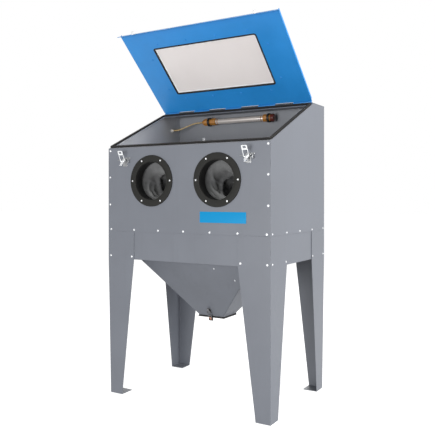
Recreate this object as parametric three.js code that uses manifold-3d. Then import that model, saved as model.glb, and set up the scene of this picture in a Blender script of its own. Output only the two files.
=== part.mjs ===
// Siphon sandblast cabinet: a sheet-steel chamber on four tapered legs, with a dust hopper below
// and a hinged lid with a window above.
// Units are millimetres, +Z is up and the front, with the two glove ports, faces -Y.
// The origin is on the floor, in the middle of the cabinet's width and depth.
import * as THREE from "three";
import { mergeVertices } from "three/addons/utils/BufferGeometryUtils.js";
import Module from "manifold-3d";

// ---------- driving dimensions ----------
const WIDTH = 900;
const DEPTH = 630;
const FRONT_TOP = 1222.5; // top edge of the front sheet
const RIM_REAR = 1443; // height of the sloping rim at its rear end
const RIM_RUN = 481; // how far the sloping rim runs back from the front
const SHELL_BOTTOM = 811; // lower edge of the upper panels
const APRON_BOTTOM = 675;
const SHEET = 2;
const GAP = 0.3; // clearance between pieces that touch
const LID_OPEN = 42; // degrees above the horizontal at which the lid stands

const LEG_SHEET = 2.5;
const LEG_TOP_X = 160; // flange widths along the aprons and at the floor
const LEG_FOOT_X = 72;
const LEG_TOP_Y = 168;
const LEG_FOOT_Y = 76;
const LEG_LEAN_X = 6; // how far the corner leans in on its way to the floor
const LEG_LEAN_Y = 11;
const FOOT_THICKNESS = 3;

const RIM_FLANGE = 20;
const SEAL_WIDTH = 14;
const SEAL_HEIGHT = 9;

const HOPPER_RIM = 38; // upright band of the hopper inside the aprons
const OUTLET_HALF_X = 72;
const OUTLET_HALF_Y = 65;
const OUTLET_HEIGHT = 390;
const OUTLET_SEAL = 6;
const DOOR_SHEET = 2.5;
const DOOR_LIP = 18; // tab that carries the catch
const DOOR_TAB_HALF = 12;
const PIN_BELOW_SEAL = DOOR_SHEET / 2;
const PIN_BEHIND_MOUTH = 7;
const DOOR_EYE_X = 26;
const DOOR_EAR_X = 44;

const GRATE_THICKNESS = 6;
const GRATE_BORDER = 22;
const GRATE_SLOT = 17;
const GRATE_BAR = 7;
const GRATE_SIDE_GAP = 3;

const PORT_X = 183;
const PORT_Z = 1058;
const PORT_RADIUS = 91; // inside of the glove port
const SLEEVE_WALL = 3;
const SLEEVE_DEPTH = 46;
const SLEEVE_FLANGE = 116;
const RING_RADIUS = 123.5;
const RING_THICKNESS = 4.5;

const GLOVE_WALL = 3;
const GLOVE_SIDES = 24;
const CUFF_LENGTH = 24;
const WRIST_RADIUS = 46;

const LID_INSET = 4; // from the cabinet's side to the lid's
const LID_HEM = 10;
const LIP_LENGTH = 28;
const LIP_GAP = 2;
const WINDOW_MARGIN_X = 155; // from the lid's side to the window's opening
const WINDOW_NEAR = 132; // from the hinge axis to the opening, along the lid
const WINDOW_MARGIN_FRONT = 104; // from the opening to the lid's front edge
const GLASS_OVERLAP = 15;
const GLASS_THICKNESS = 4;
const WINDOW_SEAL = 3;
const FRAME_WIDTH = 38;
const FRAME_LIP = 10;
const FRAME_SHEET = 2;

const KNUCKLE_RADIUS = 5.5;
const KNUCKLE_CLEARANCE = 1.5; // between the knuckles and the sloping rim below them
const PIN_RADIUS = 2.5;
const PIN_CLEARANCE = 0.35;
const LEAF_WIDTH = 34;
const LEAF_SHEET = 1.5;
const KNUCKLE_COUNT = 9;

const LATCH_INSET = 107; // from the cabinet's side to the latch's middle
const LATCH_DROP = 61; // from the front sheet's top edge down to the lever's pivot
const LATCH_STAND = 9; // lever pivot in front of the panel
const LATCH_REST = 35; // degrees by which a free lever hangs open
const BAIL_REST = 25; // degrees by which a free bail leans out
const DOOR_LATCH_SCALE = 0.7;
const DOOR_BAR_PAST = 5; // how far the shut bail's bar lies past the hopper's mouth

const PLATE_INSET = 118; // from the cabinet's right side
const PLATE_WIDTH = 240;
const PLATE_BOTTOM = 864;
const PLATE_HEIGHT = 50;

const LAMP_BEFORE_WALL = 45;
const LAMP_DROP = 44; // below the top strip
const LAMP_LEFT = -170; // ends of the bare tube
const LAMP_RIGHT = 126;
const LAMP_RADIUS = 15;
const LAMP_CAP_RADIUS = 20.5;
const LAMP_CAP_LEFT = 87;
const LAMP_CAP_RIGHT = 64;
const BRACKET_HALF = 9; // half the height of the lamp bracket's strip
const CABLE_DIAMETER = 9;
const GLAND_BEFORE_WALL = 84;
const GLAND_DROP = 83; // below the top strip
const GLAND_RADIUS = 11;
const GLAND_HOLE = 7;
const GLAND_REACH = 15;

const HOOK_INSET = 169; // from the cabinet's left side
const HOOK_DROP = 137; // below the top strip
const GUN_RADIUS = 14;
const GUN_LENGTH = 118;
const GUN_HOOK_PLACE = 76; // along the barrel, from its back end

const SPIGOT_INSET = 225; // from the cabinet's right side
const SPIGOT_Z = 1180;
const SPIGOT_RADIUS = 50;
const SPIGOT_WALL = 2.5;
const SPIGOT_REACH = 42;
const INLET_INSET = 120; // from the cabinet's left side
const INLET_Z = 960;
const INLET_RADIUS = 8;
const INLET_REACH = 34;

// ---------- places worked out from them ----------
const FRONT = -DEPTH / 2;
const REAR = DEPTH / 2;
const SIDE = WIDTH / 2;
const RIM_END = FRONT + RIM_RUN;
const SLOPE = Math.atan2(RIM_REAR - FRONT_TOP, RIM_RUN);
const AXIS_RISE = KNUCKLE_RADIUS + KNUCKLE_CLEARANCE; // lid hinge axis above the sloping rim
const AXIS_Y = RIM_END - AXIS_RISE * Math.sin(SLOPE);
const AXIS_Z = RIM_REAR + AXIS_RISE * Math.cos(SLOPE);
const RAIL_TOP = AXIS_Z - 3.3;
const LID_HALF_WIDTH = SIDE - LID_INSET;
const LID_SEAT = SEAL_HEIGHT - AXIS_RISE; // inner face of the lid above the hinge axis
const LID_LOW = LID_SEAT + GAP;
const LID_REACH =
  (AXIS_Y - FRONT + LIP_GAP + SHEET - (LID_LOW + SHEET / 2) * Math.sin(SLOPE)) / Math.cos(SLOPE);
const SEAL_REACH = (AXIS_Y - FRONT) / Math.cos(SLOPE) - AXIS_RISE * Math.tan(SLOPE);
const WINDOW_HALF_X = LID_HALF_WIDTH - WINDOW_MARGIN_X;
const WINDOW_FAR = LID_REACH - WINDOW_MARGIN_FRONT;
const LATCH_X = SIDE - LATCH_INSET;
const LATCH_Z = FRONT_TOP - LATCH_DROP;
const LAMP_Y = REAR - LAMP_BEFORE_WALL;
const LAMP_Z = RAIL_TOP - LAMP_DROP;
const GLAND_Y = REAR - GLAND_BEFORE_WALL;
const GLAND_Z = RAIL_TOP - GLAND_DROP;
const HOOK_X = HOOK_INSET - SIDE;
const HOOK_Z = RAIL_TOP - HOOK_DROP;
const SPIGOT_X = SIDE - SPIGOT_INSET;
const INLET_X = INLET_INSET - SIDE;
const PLATE_RIGHT = SIDE - PLATE_INSET;
const APRON_Y = FRONT + LEG_SHEET + GAP;
const APRON_X = SIDE - LEG_SHEET - GAP;
const HOPPER_Y = APRON_Y + SHEET + GAP;
const HOPPER_X = APRON_X - SHEET - GAP;
const HOPPER_TOP = SHELL_BOTTOM + HOPPER_RIM;
const GRATE_BOTTOM = HOPPER_TOP + GAP;

const GREY = 0x83878e;
const DARK_GREY = 0x70747a;
const BLUE = 0x2a7ebe;
const BLACK = 0x1c1c1e;
const ZINC = 0xd8dade;

// ---------- solids ----------
const wasm = await Module();
wasm.setup();

function toSolid(geometry) {
  const bare = geometry.index ? geometry.toNonIndexed() : geometry.clone();
  bare.deleteAttribute("normal");
  bare.deleteAttribute("uv");
  const merged = mergeVertices(bare, 1e-4);
  return new wasm.Manifold(
    new wasm.Mesh({
      numProp: 3,
      vertProperties: merged.attributes.position.array,
      triVerts: new Uint32Array(merged.index.array),
    }),
  );
}

function toGeometry(solid) {
  const mesh = solid.getMesh();
  const geometry = new THREE.BufferGeometry();
  geometry.setAttribute("position", new THREE.BufferAttribute(mesh.vertProperties, 3));
  geometry.setIndex(new THREE.BufferAttribute(mesh.triVerts, 1));
  const flat = geometry.toNonIndexed();
  flat.computeVertexNormals();
  return flat;
}

function join(...pieces) {
  return toGeometry(pieces.map(toSolid).reduce((whole, piece) => whole.add(piece)));
}

function cut(body, ...tools) {
  return toGeometry(tools.map(toSolid).reduce((rest, tool) => rest.subtract(tool), toSolid(body)));
}

// A box from its two opposite corners.
function block(x0, x1, y0, y1, z0, z1) {
  const box = new THREE.BoxGeometry(x1 - x0, y1 - y0, z1 - z0);
  return box.translate((x0 + x1) / 2, (y0 + y1) / 2, (z0 + z1) / 2);
}

function outline(points) {
  return new THREE.Shape(points.map(([a, b]) => new THREE.Vector2(a, b)));
}

// A shape drawn in Y and Z, extruded along X.
function alongX(shape, x0, x1, curveSegments = 12) {
  const geometry = new THREE.ExtrudeGeometry(shape, {
    depth: x1 - x0,
    bevelEnabled: false,
    curveSegments,
  });
  const turn = new THREE.Matrix4().set(0, 0, 1, x0, 1, 0, 0, 0, 0, 1, 0, 0, 0, 0, 0, 1);
  return geometry.applyMatrix4(turn);
}

// A shape drawn in X and Z, extruded along Y.
function alongY(shape, y0, y1, curveSegments = 12) {
  const geometry = new THREE.ExtrudeGeometry(shape, {
    depth: y1 - y0,
    bevelEnabled: false,
    curveSegments,
  });
  return geometry.rotateX(Math.PI / 2).translate(0, y1, 0);
}

// A shape drawn in X and Y, extruded along Z.
function alongZ(shape, z0, z1, curveSegments = 12) {
  const geometry = new THREE.ExtrudeGeometry(shape, {
    depth: z1 - z0,
    bevelEnabled: false,
    curveSegments,
  });
  return geometry.translate(0, 0, z0);
}

// A closed profile of [radius, distance along the axis], turned about the Z axis.
function turned(profile, segments) {
  const points = [...profile, profile[0]].map(([r, z]) => new THREE.Vector2(r, z));
  return new THREE.LatheGeometry(points, segments).rotateX(Math.PI / 2);
}

// A tube wall or a solid rod about the Z axis.
function pipe(inner, outer, z0, z1, segments) {
  if (inner > 0) {
    return turned([[inner, z0], [outer, z0], [outer, z1], [inner, z1]], segments);
  }
  const rod = new THREE.CylinderGeometry(outer, outer, z1 - z0, segments);
  return rod.rotateX(Math.PI / 2).translate(0, 0, (z0 + z1) / 2);
}

function pipeX(inner, outer, x0, x1, segments) {
  return pipe(inner, outer, x0, x1, segments).rotateY(Math.PI / 2);
}

function pipeY(inner, outer, y0, y1, segments) {
  return pipe(inner, outer, y0, y1, segments).rotateX(-Math.PI / 2);
}

// A round rod swept along a smooth curve through the points.
function rodAlong(points, radius, sides, steps) {
  const path = new THREE.CatmullRomCurve3(points, false, "centripetal");
  const section = new THREE.Shape(
    Array.from({ length: sides }, (_, i) => {
      const angle = (2 * Math.PI * i) / sides;
      return new THREE.Vector2(radius * Math.cos(angle), radius * Math.sin(angle));
    }),
  );
  return new THREE.ExtrudeGeometry(section, { steps, bevelEnabled: false, extrudePath: path });
}

// A plate from four corners in order and the vector of its thickness.
function slab(corners, thickness) {
  const back = corners.map((p) => p.clone().add(thickness));
  const all = [...corners, ...back];
  const faces = [[0, 1, 2, 3], [7, 6, 5, 4], [0, 4, 5, 1], [1, 5, 6, 2], [2, 6, 7, 3], [3, 7, 4, 0]];
  const triangles = faces.flatMap(([a, b, c, d]) => [[a, b, c], [a, c, d]]);
  const across = corners[1].clone().sub(corners[0]).cross(corners[2].clone().sub(corners[0]));
  const turn = across.dot(thickness) > 0;
  const positions = triangles.flatMap(([a, b, c]) =>
    (turn ? [a, c, b] : [a, b, c]).flatMap((i) => all[i].toArray()),
  );
  const geometry = new THREE.BufferGeometry();
  geometry.setAttribute("position", new THREE.Float32BufferAttribute(positions, 3));
  geometry.computeVertexNormals();
  return geometry;
}

// A solid skinned over rings of points that turn clockwise, seen along the route, with flat ends.
function loft(rings) {
  const count = rings[0].length;
  const positions = [];
  const put = (...points) => points.forEach((p) => positions.push(...p.toArray()));
  for (let i = 0; i + 1 < rings.length; i += 1) {
    for (let j = 0; j < count; j += 1) {
      const k = (j + 1) % count;
      put(rings[i][j], rings[i + 1][j], rings[i + 1][k]);
      put(rings[i][j], rings[i + 1][k], rings[i][k]);
    }
  }
  const last = rings.length - 1;
  const middle = (ring) => ring.reduce((sum, p) => sum.add(p), new THREE.Vector3()).divideScalar(count);
  const first = middle(rings[0]);
  const end = middle(rings[last]);
  for (let j = 0; j < count; j += 1) {
    const k = (j + 1) % count;
    put(rings[0][j], rings[0][k], first);
    put(rings[last][k], rings[last][j], end);
  }
  const geometry = new THREE.BufferGeometry();
  geometry.setAttribute("position", new THREE.Float32BufferAttribute(positions, 3));
  geometry.computeVertexNormals();
  return geometry;
}

function rectangle(x0, x1, y0, y1, radius = 0) {
  const shape = new THREE.Shape();
  if (radius === 0) {
    return outline([[x0, y0], [x1, y0], [x1, y1], [x0, y1]]);
  }
  shape.moveTo(x0 + radius, y0);
  shape.lineTo(x1 - radius, y0);
  shape.absarc(x1 - radius, y0 + radius, radius, -Math.PI / 2, 0, false);
  shape.lineTo(x1, y1 - radius);
  shape.absarc(x1 - radius, y1 - radius, radius, 0, Math.PI / 2, false);
  shape.lineTo(x0 + radius, y1);
  shape.absarc(x0 + radius, y1 - radius, radius, Math.PI / 2, Math.PI, false);
  shape.lineTo(x0, y0 + radius);
  shape.absarc(x0 + radius, y0 + radius, radius, Math.PI, 1.5 * Math.PI, false);
  return shape;
}

function withHole(shape, hole) {
  shape.holes.push(hole);
  return shape;
}

function addTo(group, name, geometry, colour, roughness = 0.5, metalness = 0) {
  const material = new THREE.MeshStandardMaterial({ color: colour, roughness, metalness });
  const mesh = new THREE.Mesh(geometry, material);
  mesh.name = name;
  group.add(mesh);
  return mesh;
}

const radians = THREE.MathUtils.degToRad;
const vec = (x, y, z) => new THREE.Vector3(x, y, z);

// ---------- chamber ----------
// Height of the sloping rim at a distance y from the middle of the cabinet.
function rimHeight(y) {
  return FRONT_TOP + (y - FRONT) * Math.tan(SLOPE);
}

// The folded strip under the lid seal, between two distances along Y.
function rimStrip(y0, y1) {
  const under = SHEET / Math.cos(SLOPE);
  return outline([
    [y0, rimHeight(y0) - under],
    [y1, rimHeight(y1) - under],
    [y1, rimHeight(y1)],
    [y0, rimHeight(y0)],
  ]);
}

function frontPanel() {
  const wall = block(-SIDE, SIDE, FRONT, FRONT + SHEET, SHELL_BOTTOM, FRONT_TOP);
  const inside = SIDE - SHEET - GAP;
  const flange = alongX(rimStrip(FRONT, FRONT + RIM_FLANGE), -inside, inside);
  const holes = [-PORT_X, PORT_X].map((x) =>
    pipeY(0, PORT_RADIUS + SLEEVE_WALL + 2 * GAP, -10, 10, 36).translate(x, FRONT, PORT_Z),
  );
  return cut(join(wall, flange), ...holes);
}

// One wall with its folded rim strip; side is -1 for the left wall and 1 for the right.
function sideWall(side) {
  const low = FRONT + SHEET + GAP;
  const high = REAR - SHEET - GAP;
  const top = RAIL_TOP - SHEET - GAP;
  const profile = outline([
    [low, SHELL_BOTTOM],
    [high, SHELL_BOTTOM],
    [high, top],
    [RIM_END - (RIM_REAR - top) / Math.tan(SLOPE), top],
    [low, rimHeight(low)],
  ]);
  const stripFront = FRONT + RIM_FLANGE + GAP;
  const stripRear = RIM_END - RIM_FLANGE - 12;
  const wall = alongX(profile, SIDE - SHEET, SIDE);
  const strip = alongX(rimStrip(stripFront, stripRear), SIDE - RIM_FLANGE, SIDE - SHEET / 2);
  const whole = join(wall, strip);
  const sided = side > 0 ? whole : toGeometry(toSolid(whole).mirror([1, 0, 0]));
  if (side > 0) {
    return sided;
  }
  const hole = pipeX(0, GLAND_HOLE + GAP, -SHEET * 2, SHEET * 2, 20);
  return cut(sided, hole.translate(-SIDE + SHEET / 2, GLAND_Y, GLAND_Z));
}

function rearPanel() {
  const wall = block(-SIDE, SIDE, REAR - SHEET, REAR, SHELL_BOTTOM, RAIL_TOP - SHEET - GAP);
  const spigotHole = pipeY(0, SPIGOT_RADIUS + GAP, -10, 10, 32).translate(SPIGOT_X, REAR, SPIGOT_Z);
  const inletHole = pipeY(0, INLET_RADIUS + GAP, -10, 10, 16).translate(INLET_X, REAR, INLET_Z);
  return cut(wall, spigotHole, inletHole);
}

// The flat strip behind the lid, with a sloping front fold that carries the rear of the lid seal.
function topRail() {
  const foldRear = RIM_END - 2;
  const foldFront = RIM_END - RIM_FLANGE - 8;
  const under = SHEET / Math.cos(SLOPE);
  const profile = outline([
    [foldFront, rimHeight(foldFront) - under],
    [foldRear, rimHeight(foldRear) - under],
    [RIM_END + 4, RAIL_TOP - SHEET],
    [REAR, RAIL_TOP - SHEET],
    [REAR, RAIL_TOP],
    [RIM_END + 3, RAIL_TOP],
    [foldRear, rimHeight(foldRear)],
    [foldFront, rimHeight(foldFront)],
  ]);
  const inside = SIDE - SHEET - GAP;
  const fold = alongX(profile, -inside, inside);
  const cover = block(-SIDE, SIDE, RIM_END + 6, REAR, RAIL_TOP - SHEET, RAIL_TOP);
  return join(fold, cover);
}

// ---------- lower frame ----------
// One leg: two tapered flanges folded along the outer corner, and a flat foot plate between them.
// The first corner is the front right one; the others are mirror images.
function leg() {
  const heights = [0, APRON_BOTTOM, SHELL_BOTTOM - GAP];
  const lean = (z) => Math.max(0, 1 - z / APRON_BOTTOM);
  const share = (z) => Math.min(1, z / APRON_BOTTOM);
  const cornerX = (z) => SIDE - LEG_LEAN_X * lean(z);
  const cornerY = (z) => FRONT + LEG_LEAN_Y * lean(z);
  const innerX = (z) => cornerX(z) - THREE.MathUtils.lerp(LEG_FOOT_X, LEG_TOP_X, share(z));
  const innerY = (z) => cornerY(z) + THREE.MathUtils.lerp(LEG_FOOT_Y, LEG_TOP_Y, share(z));
  const pieces = [];
  for (let i = 0; i < 2; i += 1) {
    const [a, b] = [heights[i], heights[i + 1]];
    pieces.push(
      slab(
        [
          vec(innerX(a), cornerY(a), a),
          vec(cornerX(a), cornerY(a), a),
          vec(cornerX(b), cornerY(b), b),
          vec(innerX(b), cornerY(b), b),
        ],
        vec(0, LEG_SHEET, 0),
      ),
      slab(
        [
          vec(cornerX(a), cornerY(a), a),
          vec(cornerX(a), innerY(a), a),
          vec(cornerX(b), innerY(b), b),
          vec(cornerX(b), cornerY(b), b),
        ],
        vec(-LEG_SHEET, 0, 0),
      ),
    );
  }
  pieces.push(
    block(innerX(0), cornerX(0) - LEG_SHEET / 2, cornerY(0) + LEG_SHEET / 2, innerY(0), 0, FOOT_THICKNESS),
  );
  return toSolid(join(...pieces));
}

function addLegs(group) {
  const first = leg();
  const corners = { front_right: [1, 1], front_left: [-1, 1], rear_right: [1, -1], rear_left: [-1, -1] };
  for (const [corner, [sx, sy]] of Object.entries(corners)) {
    let solid = first;
    if (sx < 0) solid = solid.mirror([1, 0, 0]);
    if (sy < 0) solid = solid.mirror([0, 1, 0]);
    addTo(group, `leg_${corner}`, toGeometry(solid), GREY, 0.5);
  }
}

// The skirts behind the legs, folded in along their lower edge.
function addAprons(group) {
  const top = HOPPER_TOP - GAP;
  const fold = 14;
  const sideY = -APRON_Y - SHEET - GAP;
  const long = join(
    block(-APRON_X, APRON_X, APRON_Y, APRON_Y + SHEET, APRON_BOTTOM, top),
    block(-APRON_X + fold, APRON_X - fold, APRON_Y, APRON_Y + fold, APRON_BOTTOM, APRON_BOTTOM + SHEET),
  );
  const short = join(
    block(APRON_X - SHEET, APRON_X, -sideY, sideY, APRON_BOTTOM, top),
    block(APRON_X - fold, APRON_X, -sideY + fold, sideY - fold, APRON_BOTTOM, APRON_BOTTOM + SHEET),
  );
  addTo(group, "apron_front", long, GREY);
  addTo(group, "apron_rear", toGeometry(toSolid(long).mirror([0, 1, 0])), GREY);
  addTo(group, "apron_right", short, GREY);
  addTo(group, "apron_left", toGeometry(toSolid(short).mirror([1, 0, 0])), GREY);
}

// One wall of the hopper, drawn as the front one: an upright band, a slope and a short upright mouth.
// reach is how far the wall's top and mouth lie from the middle, and half how far each runs sideways.
function hopperWall(reach, half) {
  const lean = Math.atan2(reach.top - reach.mouth, SHELL_BOTTOM - OUTLET_HEIGHT);
  const slope = slab(
    [
      vec(-half.mouth, -reach.mouth, OUTLET_HEIGHT),
      vec(half.mouth, -reach.mouth, OUTLET_HEIGHT),
      vec(half.top, -reach.top, SHELL_BOTTOM),
      vec(-half.top, -reach.top, SHELL_BOTTOM),
    ],
    vec(0, SHEET * Math.cos(lean), SHEET * Math.sin(lean)),
  );
  const bandY = -reach.top;
  const mouthY = -reach.mouth;
  const mouthLow = OUTLET_HEIGHT - SHEET;
  return join(
    block(-half.top, half.top, bandY, bandY + SHEET, SHELL_BOTTOM, HOPPER_TOP),
    slope,
    block(-half.mouth, half.mouth, mouthY, mouthY + SHEET, mouthLow, OUTLET_HEIGHT + SHEET / 2),
  );
}

// The four welded walls. The front and rear ones fit between the side ones.
function addHopper(group) {
  const frontReach = { top: -HOPPER_Y, mouth: OUTLET_HALF_Y };
  const sideReach = { top: HOPPER_X, mouth: OUTLET_HALF_X };
  const sideLean = Math.atan2(HOPPER_X - OUTLET_HALF_X, SHELL_BOTTOM - OUTLET_HEIGHT);
  const inset = SHEET / Math.cos(sideLean) + GAP;
  const front = hopperWall(frontReach, { top: HOPPER_X - inset, mouth: OUTLET_HALF_X - inset });
  const side = hopperWall(sideReach, { top: -HOPPER_Y, mouth: OUTLET_HALF_Y });

  const pinHeight = OUTLET_HEIGHT - SHEET - OUTLET_SEAL - PIN_BELOW_SEAL;
  const pinY = OUTLET_HALF_Y + PIN_BEHIND_MOUTH;
  const mouth = OUTLET_HEIGHT - SHEET;
  const inner = OUTLET_HALF_Y + GAP;
  const ear = outline([
    [inner, pinHeight - 6],
    [pinY + 7, pinHeight - 6],
    [pinY + 7, mouth + 8],
    [inner + 2, mouth + 8],
    [inner - 1, mouth],
    [inner, mouth],
  ]);
  const bore = pipeX(0, PIN_RADIUS + PIN_CLEARANCE, -60, 60, 16).translate(0, pinY, pinHeight);
  const ears = [-1, 1].map((s) => {
    const x = s * DOOR_EAR_X;
    return cut(alongX(ear, x - 3, x + 3), bore);
  });
  const rear = toGeometry(toSolid(front).mirror([0, 1, 0]));
  addTo(group, "hopper_front", front, DARK_GREY);
  addTo(group, "hopper_rear", join(rear, ...ears), DARK_GREY);
  addTo(group, "hopper_right", side.clone().rotateZ(Math.PI / 2), DARK_GREY);
  addTo(group, "hopper_left", side.rotateZ(-Math.PI / 2), DARK_GREY);
}

function outletSeal() {
  const x = OUTLET_HALF_X;
  const y = OUTLET_HALF_Y;
  const width = 8;
  const ring = withHole(rectangle(-x, x, -y, y), rectangle(-x + width, x - width, -y + width, y - width));
  const top = OUTLET_HEIGHT - SHEET - GAP;
  return alongZ(ring, top - OUTLET_SEAL + GAP, top);
}

// The trap door under the hopper, with the two eyes that turn on its pin.
function trapDoor(group) {
  const top = OUTLET_HEIGHT - SHEET - OUTLET_SEAL - GAP;
  const axisY = OUTLET_HALF_Y + PIN_BEHIND_MOUTH;
  const axisZ = OUTLET_HEIGHT - SHEET - OUTLET_SEAL - PIN_BELOW_SEAL;
  const x = OUTLET_HALF_X + 3;
  const lipY = -OUTLET_HALF_Y - SHEET;
  const plate = join(
    block(-x, x, lipY, OUTLET_HALF_Y - 3, top - DOOR_SHEET, top),
    block(-DOOR_TAB_HALF, DOOR_TAB_HALF, lipY, lipY + SHEET, top - DOOR_LIP, top),
  );
  const eyes = [-1, 1].map((s) => {
    const middle = s * DOOR_EYE_X;
    return join(
      pipeX(0, KNUCKLE_RADIUS - 1, -12, 12, 16).translate(middle, axisY, axisZ),
      block(middle - 12, middle + 12, OUTLET_HALF_Y - 6, axisY, top - DOOR_SHEET, top),
    );
  });
  const bore = pipeX(0, PIN_RADIUS + PIN_CLEARANCE, -60, 60, 16).translate(0, axisY, axisZ);
  addTo(group, "dump_door", cut(join(plate, ...eyes), bore), BLACK);
  const pin = pipeX(0, PIN_RADIUS, -49, 49, 16).translate(0, axisY, axisZ);
  addTo(group, "dump_door_pin", pin, ZINC, 0.3, 1);
}

// ---------- inside ----------
function workGrate() {
  const halfX = SIDE - SHEET - GRATE_SIDE_GAP;
  const halfY = -FRONT - SHEET - GRATE_SIDE_GAP;
  const plate = block(-halfX, halfX, -halfY, halfY, GRATE_BOTTOM, GRATE_BOTTOM + GRATE_THICKNESS);
  const pitch = GRATE_SLOT + GRATE_BAR;
  const count = Math.floor((2 * (halfY - GRATE_BORDER) + GRATE_BAR) / pitch);
  const start = -(count * pitch - GRATE_BAR) / 2;
  const slots = [];
  for (let i = 0; i < count; i += 1) {
    const y = start + i * pitch;
    const [low, high] = [GRATE_BOTTOM - 5, GRATE_BOTTOM + GRATE_THICKNESS + 5];
    slots.push(block(-halfX + GRATE_BORDER, -GRATE_BORDER / 2, y, y + GRATE_SLOT, low, high));
    slots.push(block(GRATE_BORDER / 2, halfX - GRATE_BORDER, y, y + GRATE_SLOT, low, high));
  }
  return cut(plate, ...slots);
}

// The flanged sleeve behind each port.
function gloveSleeve() {
  const inner = PORT_RADIUS;
  const outer = PORT_RADIUS + SLEEVE_WALL;
  const front = FRONT - GAP;
  const flange = FRONT + SHEET + GAP;
  return turned(
    [
      [inner, front],
      [outer, front],
      [outer, flange],
      [SLEEVE_FLANGE, flange],
      [SLEEVE_FLANGE, flange + SHEET],
      [outer, flange + SHEET],
      [outer, FRONT + SLEEVE_DEPTH],
      [inner, FRONT + SLEEVE_DEPTH],
    ],
    36,
  ).rotateX(-Math.PI / 2);
}

function gloveRing() {
  const back = FRONT - 2 * GAP;
  const bevel = 1.5;
  return turned(
    [
      [PORT_RADIUS, back - RING_THICKNESS + bevel],
      [PORT_RADIUS + bevel, back - RING_THICKNESS],
      [RING_RADIUS - bevel, back - RING_THICKNESS],
      [RING_RADIUS, back - RING_THICKNESS + bevel],
      [RING_RADIUS, back],
      [PORT_RADIUS, back],
    ],
    36,
  ).rotateX(-Math.PI / 2);
}

// The route of a glove from its cuff to the fingers: [distance behind the front, drop, radius].
function gloveStations() {
  const flats = Math.cos(Math.PI / GLOVE_SIDES);
  const cuff = (PORT_RADIUS + SLEEVE_WALL + GAP) / flats + GLOVE_WALL;
  return [
    [SLEEVE_DEPTH - CUFF_LENGTH, 0, cuff],
    [SLEEVE_DEPTH + 2, 0, cuff],
    [110, 8, 86],
    [190, 32, 70],
    [265, 70, 57],
    [325, 108, WRIST_RADIUS],
  ];
}

// One skin of the glove's arm, inset from its outside.
function gloveArm(inset, extra) {
  const stations = gloveStations();
  const rings = stations.map(([along, drop, radius], i) => {
    const next = stations[Math.min(i + 1, stations.length - 1)];
    const last = stations[Math.max(i - 1, 0)];
    const pitch = i < 2 ? 0 : Math.atan2(next[1] - last[1], next[0] - last[0]);
    const back = i === 0 ? extra : 0;
    return Array.from({ length: GLOVE_SIDES }, (_, j) => {
      const angle = (2 * Math.PI * (j + 0.5)) / GLOVE_SIDES;
      const across = (radius - inset) * Math.cos(angle);
      const up = (radius - inset) * Math.sin(angle);
      const behind = along - back + up * Math.sin(pitch);
      return vec(across, FRONT + behind, PORT_Z - drop + up * Math.cos(pitch));
    });
  });
  return loft(rings);
}

// A gauntlet glove: a hollow arm that ends in a hand with four fingers and a thumb.
function glove(side) {
  const stations = gloveStations();
  const [along, drop] = stations[stations.length - 1];
  const hollow = cut(gloveArm(0, 0), gloveArm(GLOVE_WALL, 20));
  const palm = new THREE.SphereGeometry(1, 12, 8).scale(50, 58, 28);
  const parts = [palm];
  for (let i = 0; i < 4; i += 1) {
    const finger = new THREE.CapsuleGeometry(14.5, 62 - Math.abs(i - 1.5) * 8, 2, 8);
    parts.push(finger.rotateZ((i - 1.5) * 0.1).translate((i - 1.5) * 24, 66, 0));
  }
  const thumb = new THREE.CapsuleGeometry(15, 48, 2, 8).rotateZ(side * 0.7);
  parts.push(thumb.translate(-side * 50, 22, -2));
  const hand = join(...parts);
  hand.rotateX(-0.5).translate(0, FRONT + along + 34, PORT_Z - drop - 22);
  const bulk = gloveArm(GLOVE_WALL, 20);
  const wristPlug = cut(hand, bulk);
  return join(hollow, wristPlug).translate(side * PORT_X, 0, 0);
}

function addPorts(group) {
  for (const [name, side] of [["left", -1], ["right", 1]]) {
    const x = side * PORT_X;
    addTo(group, `glove_ring_${name}`, gloveRing().translate(x, 0, PORT_Z), 0x2d2d2b, 0.6);
    addTo(group, `glove_sleeve_${name}`, gloveSleeve().translate(x, 0, PORT_Z), DARK_GREY);
    addTo(group, `glove_${name}`, glove(side), 0x2b2c2e, 0.9);
  }
}

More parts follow.
